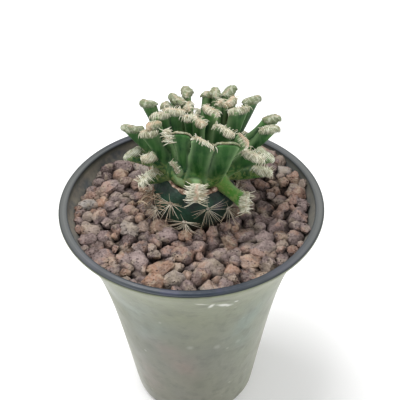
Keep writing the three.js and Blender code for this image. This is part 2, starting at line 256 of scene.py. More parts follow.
class Finish(Shading):
    """A material: its Principled shader, and its Object coordinates as place."""

    def __init__(self, name, roughness, **constants):
        self.material = bpy.data.materials.new(name)
        self.material.use_nodes = True
        super().__init__(self.material.node_tree)
        self.shader = self.tree.nodes["Principled BSDF"]
        for key, value in {"Roughness": roughness, **constants}.items():
            self.shader.inputs[key.replace("_", " ")].default_value = value
        self.place = self.node("TexCoord", "Object")

    def read(self, name, *stops):
        """An attribute of the mesh as a number, or through a ramp where stops are given."""
        value = self.node("Attribute", "Fac", {"attribute_name": name})
        return self.ramp(value, *stops) if stops else value

    def noise(self, scale, detail, output="Fac", **inputs):
        return self.node("TexNoise", output, Vector=self.place, Scale=scale, Detail=detail, **inputs)

    def mottled(self, scale, contrast, *stops, **moved):
        """Blotches of a scale, in a place that is moved or stretched if so asked."""
        place = self.node("Mapping", Vector=self.place, **moved) if moved else self.place
        value = self.node("Group", 0, {"node_tree": MOTTLE}, Place=place, Scale=scale, Contrast=contrast)
        return self.ramp(value, *stops) if stops else value

    def front_marks(self, place, tilt, marks):
        """The strongest of several marks, in a place that is turned by the tilt about Y."""
        turned = self.node("Mapping", Vector=place, Rotation=(0, tilt, 0))
        total = 0
        for x, z, half_long, half_high in marks:
            centre = x * np.cos(tilt) + z * np.sin(tilt), 0, z * np.cos(tilt) - x * np.sin(tilt)
            mask = self.node("Group", 0, {"node_tree": FRONT_MARK}, Place=turned,
                             Centre=[float(v) * MM for v in centre],
                             Sharpness=(1 / (half_long * MM), 0, 1 / (half_high * MM)))
            total = self.maths("MAXIMUM", total, mask)
        return total

    def coats(self, base, *coats):
        """Colours laid over the base in turn, each through the product of its masks."""
        for colour, *masks in coats:
            base = self.mix(self.times(*masks), base, colour)
        return base

    def finished(self, base, height=None, strength=0.3, depth=0.25 * MM):
        """Joins the colour and the relief to the shader and returns the material."""
        self.tree.links.new(base, self.shader.inputs["Base Color"])
        if height is not None:
            relief = self.node("Bump", Height=height, Strength=strength, Distance=depth)
            self.tree.links.new(relief, self.shader.inputs["Normal"])
        return self.material


def pot_profile():
    """Outline of the pot's section: underside, foot arc, outer wall, lip with a shallow
    groove along its top, inner wall, floor."""
    arc = np.linspace(0, np.pi / 2, 7)
    corner = FOOT_RADIUS + TAPER * FOOT_ROUND - FOOT_ROUND
    foot_arc = np.stack([corner + FOOT_ROUND * np.sin(arc), FOOT_ROUND * (1 - np.cos(arc))], -1)
    up = FOOT_ROUND + (OUTER_END - FOOT_ROUND) * np.linspace(0, 1, 40) ** 0.7
    outside = np.stack([wall_radius(up), up], -1)[1:]
    roll = np.linspace(-np.pi / 2, np.pi / 2, 9)
    outer_roll = np.stack([RIM_RADIUS - LIP_ROUND * (1 - np.cos(roll)),
                           RIM - LIP_ROUND * (1 - np.sin(roll))], -1)
    across = np.linspace(0.12, 0.88, 12)
    groove = np.stack([RIM_RADIUS - LIP_ROUND - across * (RIM_WIDTH - 2 * LIP_ROUND),
                       RIM - GROOVE_DEPTH * np.sin(np.pi * across) ** 2], -1)
    turn = np.linspace(0, np.pi / 2, 5)
    inner_roll = np.stack([RIM_RADIUS - RIM_WIDTH + LIP_INNER_ROUND * (1 - np.sin(turn)),
                           RIM - LIP_INNER_ROUND * (1 - np.cos(turn))], -1)
    down = np.linspace(INNER_END, POT_FLOOR, 30)
    inside = np.stack([wall_radius(down) - WALL, down], -1)
    half = FOOT_RADIUS * 0.5
    return np.vstack([[(0, 0), (half, 0)], foot_arc, outside, outer_roll, groove, inner_roll, inside,
                      [(half, POT_FLOOR), (0, POT_FLOOR)]])


def apply_modifiers(piece):
    """Replaces the piece's mesh by the result of its modifiers."""
    shape = piece.evaluated_get(bpy.context.evaluated_depsgraph_get())
    mesh = bpy.data.meshes.new_from_object(shape)
    piece.modifiers.clear()
    piece.data = mesh


def drill(piece, centres, radius, depth):
    """Round holes through the piece along Z, cut by a Boolean that is applied."""
    angle = circle(DRAIN_STEPS)
    for x, y in centres:
        ring = np.stack([x + radius * np.cos(angle), y + radius * np.sin(angle)], -1)
        levels = [np.column_stack([ring, np.full(DRAIN_STEPS, z)]) for z in (-depth, depth)]
        ends = [(x, y, -depth), (x, y, depth)]
        cutter = make_piece("cutter", np.vstack(levels + [ends]), grid_faces(2, DRAIN_STEPS))
        cut = piece.modifiers.new("hole", "BOOLEAN")
        cut.operation = "DIFFERENCE"
        cut.solver = "EXACT"
        cut.object = cutter
        apply_modifiers(piece)
        bpy.data.objects.remove(cutter)


def soft_patches(azimuth, height, patches):
    """Sum over the patches of e^(-(turn from the middle / reach)^2 - (rise / reach)^2)."""
    total = 0
    for centre, level, wide, high in patches:
        turn = (azimuth - centre + 540) % 360 - 180
        total = total + np.exp(-(turn / wide) ** 2 - ((height - level) / high) ** 2)
    return total


def pot_finish():
    """Frosted khaki plastic under clouds, patches, flecks and scratches, browner low down
    where the soil shows through, and lighter at the right as painted light; the scratches are
    whitened, partly as a painted highlight. Inside it is stained, and darker at the back right
    as painted shade; the lip is slate-blue with violet-grey streaks of painted highlight, a
    painted sheen of paler grey at both sides, and a dark line of painted shade along each edge."""
    plastic = Finish("frosted_pot_plastic", 0.45, Sheen_Weight=0.25, Sheen_Roughness=0.3,
                     Sheen_Tint=(1, 1, 0.9, 1), Specular_IOR_Level=0.3)
    height = plastic.node("SeparateXYZ", "Z", Vector=plastic.place)
    level = plastic.node("MapRange", Value=height, From_Min=0, From_Max=RIM)
    cloud = plastic.mottled(70, 3.5)
    broken = plastic.node("MapRange", Value=plastic.mottled(120, 4), To_Min=0.3)
    cells = plastic.node("TexVoronoi", "Distance", Vector=plastic.place, Scale=210)
    chosen = plastic.ramp(cells.node.outputs["Color"], (0.62, 0), (0.75, 1))
    lower = plastic.node("Mapping", Vector=plastic.place, Location=(0, 0, -1.5 * MM))
    waver = plastic.noise(330, 1, "Color")
    wavy = plastic.maths("MULTIPLY_ADD", waver, (0, 0, 3 * MM), lower, kind="VectorMath")
    outside = plastic.coats(
        plastic.ramp(level, (0.05, KHAKI_LOW), (0.5, KHAKI_MIDDLE), (0.97, KHAKI_TOP)),
        ((0.38, 0.4, 0.27), cloud, 0.16),
        # painted light: the wall is painted lighter towards the right
        ((0.36, 0.385, 0.3), plastic.read("side"), 0.75),
        ((0.2, 0.275, 0.25), plastic.read("teal"), broken, 0.6),
        ((0.26, 0.19, 0.165), plastic.read("umber"), broken, 0.7),
        ((0.1, 0.11, 0.085), plastic.read("spots"), 0.4),
        ((0.09, 0.1, 0.08), plastic.mottled(210, 2.6), 0.22),
        ((0.08, 0.085, 0.07), plastic.mottled(300, 2.4, (0.55, 0), (1, 0.34))),
        ((0.1, 0.105, 0.08), plastic.mottled(420, 3.5, Scale=(1, 1, 0.3)), 0.1),
        ((0.5, 0.51, 0.44), plastic.ramp(cells, (0.04, 0.4), (0.14, 0)), chosen),
        ((0.5, 0.52, 0.46), plastic.front_marks(plastic.place, 0, PALE_SPECKS), 0.2),
        ((0.22, 0.225, 0.2), plastic.front_marks(plastic.place, SCUFF_TILT, SCUFF_HAZE), 0.5),
        ((0.08, 0.09, 0.06), plastic.front_marks(wavy, SCUFF_TILT, SCUFF_LINE), 0.75),
        # whitened scratches, partly a painted highlight
        ((0.72, 0.72, 0.68), plastic.front_marks(wavy, SCUFF_TILT, SCRATCHES_AND_HIGHLIGHT), 0.8))
    inside = plastic.coats(
        plastic.mix(plastic.mottled(120, 4.5), (0.125, 0.14, 0.15), (0.27, 0.25, 0.21)),
        ((0.4, 0.36, 0.28), plastic.mottled(600, 6), 0.3),
        # painted shade: the inside is darker towards the back right
        ((0.045, 0.06, 0.075), plastic.read("far"), 0.72))
    # painted shade: a dark line along the inner and the outer edge of the lip
    lip_edge_shade = plastic.read("across", (0, 0.9), (0.2, 0.3), (0.45, 0), (0.7, 0.12), (0.87, 0.75), (1, 1))
    lip = plastic.coats(
        plastic.mix(plastic.mottled(260, 3.5), SLATE, SLATE_LIGHT),
        # painted highlight: violet-grey streaks on the slate lip
        (VIOLET_HIGHLIGHT, plastic.mottled(90, 7, (0.6, 0), (1, 0.7))),
        # painted sheen: the lip is paler grey at both sides
        (LIP_SHEEN_GREY, plastic.read("scuff")),
        ((0.006, 0.011, 0.014), lip_edge_shade, 0.85))
    rough = plastic.node("MapRange", Value=cloud, To_Min=0.34, To_Max=0.55)
    plastic.tree.links.new(rough, plastic.shader.inputs["Roughness"])
    base = plastic.coats(outside, (inside, plastic.read("inside")), (lip, plastic.read("lip")))
    return plastic.finished(base, plastic.noise(900, 3), 0.25, 0.2 * MM)


pot = make_piece("flared_pot", *revolve(pot_profile(), POT_STEPS))
turns = np.radians(45 + 360 / DRAIN_HOLES * np.arange(DRAIN_HOLES))
drill(pot, DRAIN_CIRCLE * np.stack([np.sin(turns), -np.cos(turns)], -1), DRAIN_RADIUS, 3 * POT_FLOOR)
coords = points_of(pot)
radius = np.hypot(coords[:, 0], coords[:, 1])
rightward, backward = coords[:, :2].T / np.maximum(radius, MM)
around = azimuth_of(coords), coords[:, 2] / MM
lip = coords[:, 2] > RIM - np.where(radius < RIM_RADIUS - 0.3 * MM, LIP_ROUND, LIP_DEPTH)
inside = (radius < wall_radius(coords[:, 2]) - 0.6 * WALL) & (coords[:, 2] > POT_FLOOR * 0.5) & ~lip
set_attributes(
    pot, lip=lip, inside=inside, across=np.clip((radius - RIM_RADIUS + RIM_WIDTH) / RIM_WIDTH, 0, 1),
    # side paints light, lighter to the right of the wall; far paints shade, darker inside towards the back
    # right
    far=np.clip(0.55 * rightward + 0.83 * backward, 0, 1) ** 1.5, side=np.clip(rightward, 0, 1) ** 1.5,
    teal=soft_patches(*around, TEAL_PATCHES), umber=soft_patches(*around, UMBER_PATCHES),
    spots=soft_patches(*around, DARK_SPOTS),
    # painted sheen on the lip, strongest at both sides
    scuff=np.where(lip, np.abs(coords[:, 0] / RIM_RADIUS) ** 1.5, 0))
pot.data.set_sharp_from_angle(angle=np.radians(45))
pot.data.materials.append(pot_finish())
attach(pot, "root")
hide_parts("pot")


# Potting mix. Dark crumbly soil that fills the pot under the gravel. It can be
# seen only through the drain holes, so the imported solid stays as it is.
def crumbly_finish(name, roughness, scale, depth, *stops, **constants):
    """Crumbs, tufts or cork: one mottle gives both the colour and the relief."""
    stuff = Finish(name, roughness, **constants)
    crumbs = stuff.mottled(scale, 4)
    return stuff.finished(stuff.ramp(crumbs, *stops), crumbs, 0.9, depth)


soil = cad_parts["potting_mix"]
soil.data.materials.clear()
soil.data.materials.append(crumbly_finish("dark_potting_mix", 0.95, 900, 0.6 * MM,
                                          (0, (0.02, 0.014, 0.01)), (1, (0.12, 0.085, 0.06))))


# Gravel. Loose lava stones from 3 to 8 mm, broken and then tumbled, porous, in
# mauve, brown, grey and a few rust ones. They lie in layers on the mix, up to
# the pot's wall and close round the stock, a little higher at the back right.
STOCK_CENTRE = np.array([0.8, 1.5]) * MM
STOCK_GIRTH = 11.6 * MM
GRAVEL_LEVEL = RIM - 2.9 * MM
GRAVEL_CEILING = RIM - 0.1 * MM
GRAVEL_SLOPE = 1.1 * MM
GRAVEL_HEAP = 3.3 * MM  # how much higher it is heaped against the wall at the back right
HEAP_AT = 38  # the heap's middle in degrees from +X towards the back, and how far it reaches
HEAP_REACH = 34
UNDER_DEPTH = 4.2 * MM  # how far the lower layer's stones lie under the level of the tops
WALL_GAP = 0.1 * MM
# how many stones there are of each kind, and their least and largest radius in mm
BIG_STONES = 112
BIG_RADII = 2.2, 3.7
SMALL_STONES = 120
SMALL_RADII = 1.2, 2.1
UNDER_STONES = 170
UNDER_RADII = 2.2, 3.0
STONE_PLANES = 11
TOP_GRID = 16, 24
UNDER_GRID = 7, 10


def unit(vectors):
    return vectors / np.linalg.norm(vectors, axis=-1, keepdims=True)


def hump(offset, reach):
    """e^-(offset / reach)^2: 1 in the middle, falling softly to 0."""
    return np.exp(-(offset / reach) ** 2)


def sphere_directions(rings, steps):
    """Unit vectors on a latitude and longitude grid, with the two poles last."""
    polar = ((np.arange(rings) + 0.5) / rings * np.pi)[:, None]
    around = circle(steps)
    grid = np.stack([np.sin(polar) * np.cos(around), np.sin(polar) * np.sin(around),
                     -np.cos(polar) + 0 * around], -1)
    return np.vstack([grid.reshape(-1, 3), [(0, 0, -1), (0, 0, 1)]])


def random_turns(count, rng):
    """Rotation matrices from random unit quaternions."""
    w, x, y, z = unit(rng.normal(size=(count, 4))).T
    rows = [1 - 2 * (y * y + z * z), 2 * (x * y - w * z), 2 * (x * z + w * y),
            2 * (x * y + w * z), 1 - 2 * (x * x + z * z), 2 * (y * z - w * x),
            2 * (x * z - w * y), 2 * (y * z + w * x), 1 - 2 * (x * x + y * y)]
    return np.stack(rows, -1).reshape(-1, 3, 3)


def rough_stones(radii, directions, rng, sharpness=40.0):
    """Points of each stone about its own middle. Along direction d the radius is the
    rounded smallest of plane distance / (d . plane normal) over random planes, times
    slow waves for lumps and quick ones for pores. The stone is then turned at random,
    stretched so that it lies flat-side down, and spun about Z."""
    count = len(radii)
    normals = unit(rng.normal(size=(count, STONE_PLANES, 3)))
    distance = rng.uniform(0.68, 1.08, (count, STONE_PLANES, 1))
    facing = np.maximum(normals @ directions.T / distance, 0)
    nearest = np.maximum((facing ** sharpness).sum(1), 1e-12) ** (-1 / sharpness)
    reach = np.minimum(nearest, 1.16)
    for frequency, depth in ((3.5, 0.05), (7.0, 0.05), (13.0, 0.04)):
        waves = rng.normal(size=(count, 5, 3)) * frequency
        phase = rng.uniform(0, 6.28, (count, 5, 1))
        reach *= 1 + depth * np.sin(waves @ directions.T + phase).sum(1) / 2
    points = np.einsum("nij,nvj->nvi", random_turns(count, rng), reach[:, :, None] * directions)
    stretch = [rng.uniform(least, most, count) for least, most in ((0.96, 1.2), (0.8, 1.0), (0.7, 0.95))]
    x, y, z = np.moveaxis(points * np.stack(stretch, -1)[:, None] * radii[:, None, None], 2, 0)
    spin = rng.uniform(0, 2 * np.pi, (count, 1))
    return np.stack([np.cos(spin) * x - np.sin(spin) * y, np.sin(spin) * x + np.cos(spin) * y, z], -1)


def settle(radii, rng, outer, rounds=260):
    """Middles in plan, pushed apart in rounds until the stones hardly overlap, and kept
    between the stock and the pot's wall, whose radius at each stone is outer."""
    count = len(radii)
    angle = rng.uniform(0, 2 * np.pi, count)
    out = np.sqrt(rng.uniform(STOCK_GIRTH ** 2, np.min(outer) ** 2, count))
    spot = np.stack([out * np.cos(angle), out * np.sin(angle)], -1)
    for _ in range(rounds):
        apart = spot[:, None] - spot[None]
        distance = np.linalg.norm(apart, axis=2) + np.eye(count)
        overlap = np.maximum((radii[:, None] + radii[None]) * 0.96 - distance, 0)
        np.fill_diagonal(overlap, 0)
        spot += 0.3 * (apart / distance[:, :, None] * overlap[:, :, None]).sum(1)
        rim = np.linalg.norm(spot, axis=1, keepdims=True)
        spot *= np.minimum(1, (outer - radii)[:, None] / rim)
        off = spot - STOCK_CENTRE
        near = np.linalg.norm(off, axis=1, keepdims=True)
        spot = STOCK_CENTRE + off * np.maximum(1, (STOCK_GIRTH + 0.7 * radii[:, None]) / near)
    return spot


def bed_level(spot):
    """Level of the stones' tops: a plane that rises to the back right, and a heap against
    the wall there that falls off as e^-(turn^2) round the pot and evenly inwards."""
    lean = (0.75 * spot[:, 0] + 0.66 * spot[:, 1]) / RIM_RADIUS
    turn = np.degrees(np.arctan2(spot[:, 1], spot[:, 0])) - HEAP_AT
    out = np.linalg.norm(spot, axis=1) / RIM_RADIUS
    heap = hump(turn, HEAP_REACH) * np.clip((out - 0.4) / 0.4, 0, 1)
    return GRAVEL_LEVEL + GRAVEL_SLOPE * lean + GRAVEL_HEAP * heap


def shade_in_gaps(points):
    """How deep each point lies between the stones, from 1 in the open to 0 in a gap: its
    height against the mean height of the tops within about 2 mm."""
    cell = 0.6 * MM
    size = int(2 * RIM_RADIUS / cell) + 2
    column, line = ((points[:, :2] + RIM_RADIUS) / cell).astype(int).T
    tops = np.full((size, size), GRAVEL_LEVEL - 4 * MM)
    np.maximum.at(tops, (column, line), points[:, 2])
    for _ in range(5):
        padded = np.pad(tops, 1, mode="edge")
        tops = sum(padded[i:i + size, j:j + size] for i in range(3) for j in range(3)) / 9
    below = tops[column, line] - points[:, 2]
    return 1 - np.clip((below + 0.5 * MM) / (2.3 * MM), 0, 1)


def repeated(blocks, one):
    """Vertices and faces of many like surfaces, one after the other."""
    size = blocks.shape[1]
    return blocks.reshape(-1, 3), [[v + k * size for v in face] for k in range(len(blocks)) for face in one]


def stone_pieces(name, places, points, tints, faces, parts):
    """Stones as a few pieces, each stone a closed surface with a tint. A point that would
    be in the pot's wall is drawn in to it, so the stones lie flat against the wall."""
    made = []
    for part in range(parts):
        chosen = np.arange(part, len(places), parts)
        verts, all_faces = repeated(points[chosen] + places[chosen, None], faces)
        room = wall_radius(verts[:, 2]) - WALL - WALL_GAP
        verts[:, :2] *= np.minimum(1, room / np.hypot(verts[:, 0], verts[:, 1]))[:, None]
        piece = make_piece(f"{name}_{part + 1}", verts, all_faces, 38)
        set_attributes(piece, tint=np.repeat(tints[chosen], points.shape[1]))
        made.append(piece)
    return made


rng = np.random.default_rng(7)
radii = np.concatenate([rng.uniform(*BIG_RADII, BIG_STONES), rng.uniform(*SMALL_RADII, SMALL_STONES)]) * MM
outer = wall_radius(GRAVEL_LEVEL - 0.9 * radii) - WALL - WALL_GAP
spots = settle(radii, rng, outer)
tops = bed_level(spots) + rng.uniform(-0.9, 0.9, len(spots)) * MM
heights = np.minimum(tops, GRAVEL_CEILING) - 0.92 * radii
at_wall = wall_radius(heights) - WALL - WALL_GAP  # each stone moves out to the wall at its own height
spots *= np.maximum(1, (at_wall - radii) / (outer - radii))[:, None]
points = rough_stones(radii, sphere_directions(*TOP_GRID), rng)
gravel = stone_pieces("lava_gravel_top", np.column_stack([spots, heights]), points,
                      rng.uniform(0, 1, len(spots)), grid_faces(*TOP_GRID), 2)

radii = rng.uniform(*UNDER_RADII, UNDER_STONES) * MM
outer = wall_radius(GRAVEL_LEVEL - UNDER_DEPTH - 1.2 * radii) - WALL - 0.4 * MM
spots = settle(radii, rng, outer, 120)
heights = bed_level(spots) - UNDER_DEPTH + rng.uniform(-0.6, 0.6, UNDER_STONES) * MM
points = rough_stones(radii, sphere_directions(*UNDER_GRID), rng)
gravel += stone_pieces("lava_gravel_under", np.column_stack([spots, heights]), points,
                       rng.uniform(0, 1, UNDER_STONES), grid_faces(*UNDER_GRID), 1)
all_points = [points_of(piece) for piece in gravel]
shades = shade_in_gaps(np.vstack(all_points))
ends = np.cumsum([len(block) for block in all_points])
for piece, block in zip(gravel, np.split(shades, ends[:-1])):
    set_attributes(piece, open=block)


def gravel_finish():
    """Each stone takes a base colour from its tint; grain and pores come from noise and
    cells; painted shade darkens the pores and the stones down in the gaps, and pale specks
    on the upward faces are dust and painted light."""
    stone = Finish("porous_lava_stone", 0.93, Specular_IOR_Level=0.2)
    tint = stone.read("tint", (0, (0.09, 0.058, 0.055)), (0.14, (0.18, 0.124, 0.116)),
                      (0.3, (0.31, 0.23, 0.22)), (0.44, (0.2, 0.147, 0.136)), (0.6, (0.385, 0.295, 0.28)),
                      (0.74, (0.23, 0.15, 0.12)), (0.86, (0.405, 0.245, 0.165)), (1, (0.42, 0.39, 0.355)))
    dark = stone.mix(0.52, tint, (0.035, 0.025, 0.022))
    pale = stone.mix(0.06, tint, (0.3, 0.24, 0.25))
    cells = stone.node("TexVoronoi", "Distance", Vector=stone.place, Scale=1150)
    pores = stone.times(stone.ramp(cells, (0.1, 1), (0.36, 0)), stone.mottled(700, 5))
    up = stone.node("SeparateXYZ", "Z", Vector=stone.node("NewGeometry", "Normal"))
    base = stone.coats(
        stone.mix(stone.mottled(380, 3.2), dark, pale),
        ((0.43, 0.24, 0.15), stone.mottled(190, 6, (0.62, 0), (1, 0.4))),
        ((0.48, 0.4, 0.29), stone.mottled(260, 7, (0.6, 0), (1, 0.34), Location=(0.3, 0.2, 0.1))),
        # painted shade: the pores are darkened
        ((0.03, 0.02, 0.018), pores, 0.8),
        # pale specks on the upward faces: dust, and painted light on the tops
        ((0.6, 0.5, 0.46), stone.mottled(1700, 6), stone.ramp(up, (0.35, 0.04), (0.95, 0.24))),
        # painted shade: the stones darken down in the gaps
        ((0.015, 0.01, 0.009), stone.read("open", (0.1, 0.96), (0.5, 0.7), (0.86, 0))))
    relief = stone.maths("SUBTRACT", stone.noise(900, 6, Roughness=0.65), stone.times(pores, 0.6))
    return stone.finished(base, relief, 1, 1 * MM)


stone_finish = gravel_finish()
for piece in gravel:
    piece.data.materials.append(stone_finish)
    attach(piece, "root")
    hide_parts("gravel")


# Rootstock. A short dark blue-green globular cactus with low swellings round its
# areoles, rooted in the mix and cut flat on top for the graft.
STOCK_PROFILE = [(3.2, -22), (5.6, -16), (8.6, -11.5), (10.2, -7.5), (11.1, -3.5), (11.4, 0), (11.1, 3),
                 (10.1, 5.4), (8.9, 7), (8.2, 7.5)]
# azimuth in degrees, height above the rim and distance from the stock's axis in mm
STOCK_AREOLES = [
    (-35, 4.6, 11.2), (18, 3.6, 11.2), (72, 3.3, 11.4), (114, 3.6, 11.3),
    (158, 3.8, 11.3), (-158, 3.6, 11.3), (-118, 3.8, 11.3), (-78, 3.4, 11.4),
    (-60, 0.5, 12.5), (-13, 0.2, 12.4), (49, 1.5, 12.4), (94, 0.6, 12.2),
    (136, 0.5, 12.2), (180, 0.4, 12.2), (-138, 0.5, 12.2), (-98, 0.3, 12.2),
]
# purple patches on the stock: a painted reflection of the waxy skin's sheen
PURPLE_SHEEN_PATCHES = [(36, 3.2, 9, 1.1), (-100, 4.5, 12, 1.5), (150, 1.5, 14, 1.5)]
SWELLING_REACH = 13, 2.4  # degrees and mm
SWELLING = 0.75
STOCK_CORE = 4 * MM  # nothing swells within this of the axis
STOCK_STEPS = 192


def smooth_profile(points, count):
    """A round line through the points, each stretch a Catmull-Rom cubic."""
    points = np.asarray(points, float)
    padded = np.vstack([2 * points[0] - points[1], points, 2 * points[-1] - points[-2]])
    t = np.linspace(0, len(points) - 1 - 1e-9, count)
    k = t.astype(int)
    u = (t - k)[:, None]
    p0, p1, p2, p3 = (padded[k + i] for i in range(4))
    return 0.5 * (2 * p1 + (p2 - p0) * u + (2 * p0 - 5 * p1 + 4 * p2 - p3) * u ** 2
                  + (3 * p1 - p0 - 3 * p2 + p3) * u ** 3)


profile = np.vstack([[(0, -22)], smooth_profile(STOCK_PROFILE, 90), [(0, 7.5)]])
verts, faces = revolve(profile * MM + np.array([0, RIM]), STOCK_STEPS)
azimuth, level = azimuth_of(verts), (verts[:, 2] - RIM) / MM
radius = np.hypot(verts[:, 0], verts[:, 1])
folds = 0.1 * np.sin(np.radians(azimuth) * 21 + level * 0.8) * np.sin(level * 1.9 + np.radians(azimuth) * 5)
swellings = [(turn, height, *SWELLING_REACH) for turn, height, _ in STOCK_AREOLES]
swelling = soft_patches(azimuth, level, swellings)
growth = (SWELLING * swelling + folds) * MM / np.maximum(radius, STOCK_CORE)
verts[:, :2] *= 1 + np.where(radius > STOCK_CORE, growth, 0)[:, None]
verts[:, :2] += STOCK_CENTRE
stock = make_piece("stock_body", verts, faces, 50)
set_attributes(stock, swelling=swelling, purple=soft_patches(azimuth, level, PURPLE_SHEEN_PATCHES))


def stock_finish():
    """Waxy dark green skin, teal in patches and purplish in others, with purple patches
    that are a painted reflection of its waxy sheen, paler on the swellings and browned near the soil."""
    skin = Finish("dark_waxy_skin", 0.45, Specular_IOR_Level=0.25)
    fine = skin.mottled(1500, 3)
    height = skin.node("SeparateXYZ", "Z", Vector=skin.place)
    soiled = skin.node("MapRange", Value=height, From_Min=RIM - 0.5 * MM, From_Max=RIM - 3.5 * MM)
    base = skin.coats(
        skin.mix(skin.mottled(260, 5), (0.002, 0.012, 0.006), (0.009, 0.045, 0.026)),
        ((0.04, 0.028, 0.045), skin.mottled(150, 6), 0.3),
        ((0.03, 0.085, 0.045), skin.read("swelling"), 0.3),
        # painted reflection: purple patches for the waxy sheen
        ((0.085, 0.06, 0.1), skin.read("purple"), 0.75),
        ((0.03, 0.07, 0.04), fine, 0.2),
        ((0.035, 0.025, 0.018), soiled))
    return skin.finished(base, fine)


stock.data.materials.append(stock_finish())
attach(stock, "root")
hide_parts("rootstock")


# Stars of spines on the stock. Each areole is a small felted cushion with about
# twenty thin, slightly bowed, cream to brown spines that spread like a star.
STOCK_SPINES = 20
SPINE_LENGTHS = 4.2, 6.2
SPINE_RADII = 0.068, 0.028  # at the root and at the tip
SPINE_POINTS = 7
SPINE_FLOOR = RIM - 1.2 * MM
CUSHION_HALVES = np.array([0.75, 0.65, 0.6]) * MM
CUSHION_GRID = 8, 14
CUSHION_TUFTS = 0.12
UP = np.array([0, 0, 1.0])


def spine_tubes(paths, radii, sides):
    """Tubes along paths. paths is (n, points, 3) and radii (n, points). Ring points are
    path + radius x (cos a x side + sin a x other), and a point closes each end."""
    run = unit(np.gradient(paths, axis=1))
    other = unit(np.cross(run, np.array([0.31, 0.22, 0.92])))
    side = np.cross(other, run)
    angle = circle(sides)[:, None]
    ring = np.cos(angle) * side[:, :, None] + np.sin(angle) * other[:, :, None]
    rings = paths[:, :, None] + radii[:, :, None, None] * ring
    body = np.concatenate([rings.reshape(len(paths), -1, 3), paths[:, :1], paths[:, -1:]], axis=1)
    return repeated(body, grid_faces(paths.shape[1], sides))


def spine_piece(name, paths, radii, sides, tints, finish):
    """Spines as one piece, with how far along each spine a point is and its tint."""
    steps = len(paths[0])
    piece = make_piece(name, *spine_tubes(np.array(paths), np.array(radii), sides), 80)
    along = np.concatenate([np.repeat(np.linspace(0, 1, steps), sides), [0, 1]])
    set_attributes(piece, along=np.tile(along, len(paths)), tint=np.repeat(tints, steps * sides + 2))
    piece.data.materials.append(finish)
    return piece


def outward(azimuth):
    """Level unit vector at an azimuth in degrees from the front towards +X."""
    angle = np.radians(azimuth)
    return np.array([np.sin(angle), -np.cos(angle), 0.0])


def spine_finish(name, tip_colour, *stops):
    """Horny spine: colour by its own tint, and of another colour at the tip."""
    horn = Finish(name, 0.45)
    return horn.finished(horn.coats(
        horn.read("tint", *stops),
        (tip_colour, horn.read("along", (0.5, 0), (1, 0.7))),
        ((0.25, 0.18, 0.1), horn.mottled(2600, 3), 0.25)))


rng = np.random.default_rng(21)
paths, seats = [], []
t = np.linspace(0, 1, SPINE_POINTS)[:, None]
for azimuth, level, girth in STOCK_AREOLES:
    raised = np.radians(24 + 3 * level)
    normal = outward(azimuth) * np.cos(raised) + UP * np.sin(raised)
    aside = np.cross(UP, outward(azimuth))
    seat = np.append(STOCK_CENTRE, RIM) + outward(azimuth) * (girth + 0.2) * MM + UP * level * MM
    seats.append((seat, normal, aside))
    for k in range(STOCK_SPINES):
        turn = (k + rng.uniform(0.15, 0.85)) / STOCK_SPINES
        angle = 2 * np.pi * turn if k % 5 == 0 else np.radians(250 * turn - 215)
        length = rng.uniform(*SPINE_LENGTHS) * MM
        rise = np.sin(angle) * (0.6 if np.sin(angle) > 0 else 1.05)
        spread = aside * np.cos(angle) + np.cross(normal, aside) * rise
        lift = rng.uniform(0.3, 0.65)
        bow = normal * (lift * t - 0.3 * lift * t ** 2)
        path = seat + length * (t * spread * 0.95 + bow - normal * 0.04)
        path += length * 0.06 * rng.normal(size=3) * t ** 2
        path[:, 2] = np.maximum(path[:, 2], min(seat[2], SPINE_FLOOR) + 0.4 * MM * t[:, 0])
        paths.append(path)
widths = np.tile(np.linspace(*SPINE_RADII, SPINE_POINTS) * MM, (len(paths), 1))
pale_spine = spine_finish("pale_brown_spine", (0.42, 0.28, 0.16), (0, (0.5, 0.42, 0.3)),
                          (0.45, (0.68, 0.63, 0.49)), (0.8, (0.78, 0.73, 0.62)), (1, (0.38, 0.24, 0.16)))
star_spines = spine_piece("stock_spines", paths, widths, 5, rng.uniform(0, 1, len(paths)), pale_spine)


def felt_cushions(frames, directions, rng):
    """Woolly cushions: each is an ellipsoid with half-axes along its own frame, its radius
    broken by quick waves like tufts. frames holds (middle, axes x half-lengths)."""
    blocks = []
    for middle, axes in frames:
        waves = rng.normal(size=(8, 3)) * 9
        tufts = np.sin(directions @ waves.T + rng.uniform(0, 6.28, 8)).sum(1) / 3
        blocks.append(middle + (directions * (1 + CUSHION_TUFTS * tufts)[:, None]) @ axes)
    return np.array(blocks)


frames = [(seat - normal * 0.1 * MM, np.array([aside, UP, normal]) * CUSHION_HALVES[:, None])
          for seat, normal, aside in seats]
cushions = felt_cushions(frames, sphere_directions(*CUSHION_GRID), rng)
stock_wool = make_piece("stock_areoles", *repeated(cushions, grid_faces(*CUSHION_GRID)), 80)
stock_wool.data.materials.append(crumbly_finish(
    "grey_brown_wool", 0.95, 1700, 0.4 * MM, (0, (0.2, 0.15, 0.1)), (0.5, (0.42, 0.36, 0.28)),
    (1, (0.6, 0.55, 0.45)), Sheen_Weight=0.3, Specular_IOR_Level=0.1))
for piece in (star_spines, stock_wool):
    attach(piece, "root")
    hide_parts("rootstock")


# Graft callus and dried scraps. Pinkish-tan tissue swelled out of the cut between
# the stock and the scion and holds them together, and dead rust-brown fibres of
# old spines hang on the stock's left shoulder.
CALLUS_GIRTH = 8.5
CALLUS_HEIGHT = 7.4
CALLUS_THICKNESS = 0.8
SCRAPS = 44
# least and most of x, y and z in mm, of where a fibre starts and how far from there it ends
SCRAP_STARTS = (-15.5, -9.0), (-6.0, 1.0), (0.6, 2.4)
SCRAP_RUNS = (1.5, 6.0), (-3.5, 3.5), (-0.4, 3.4)


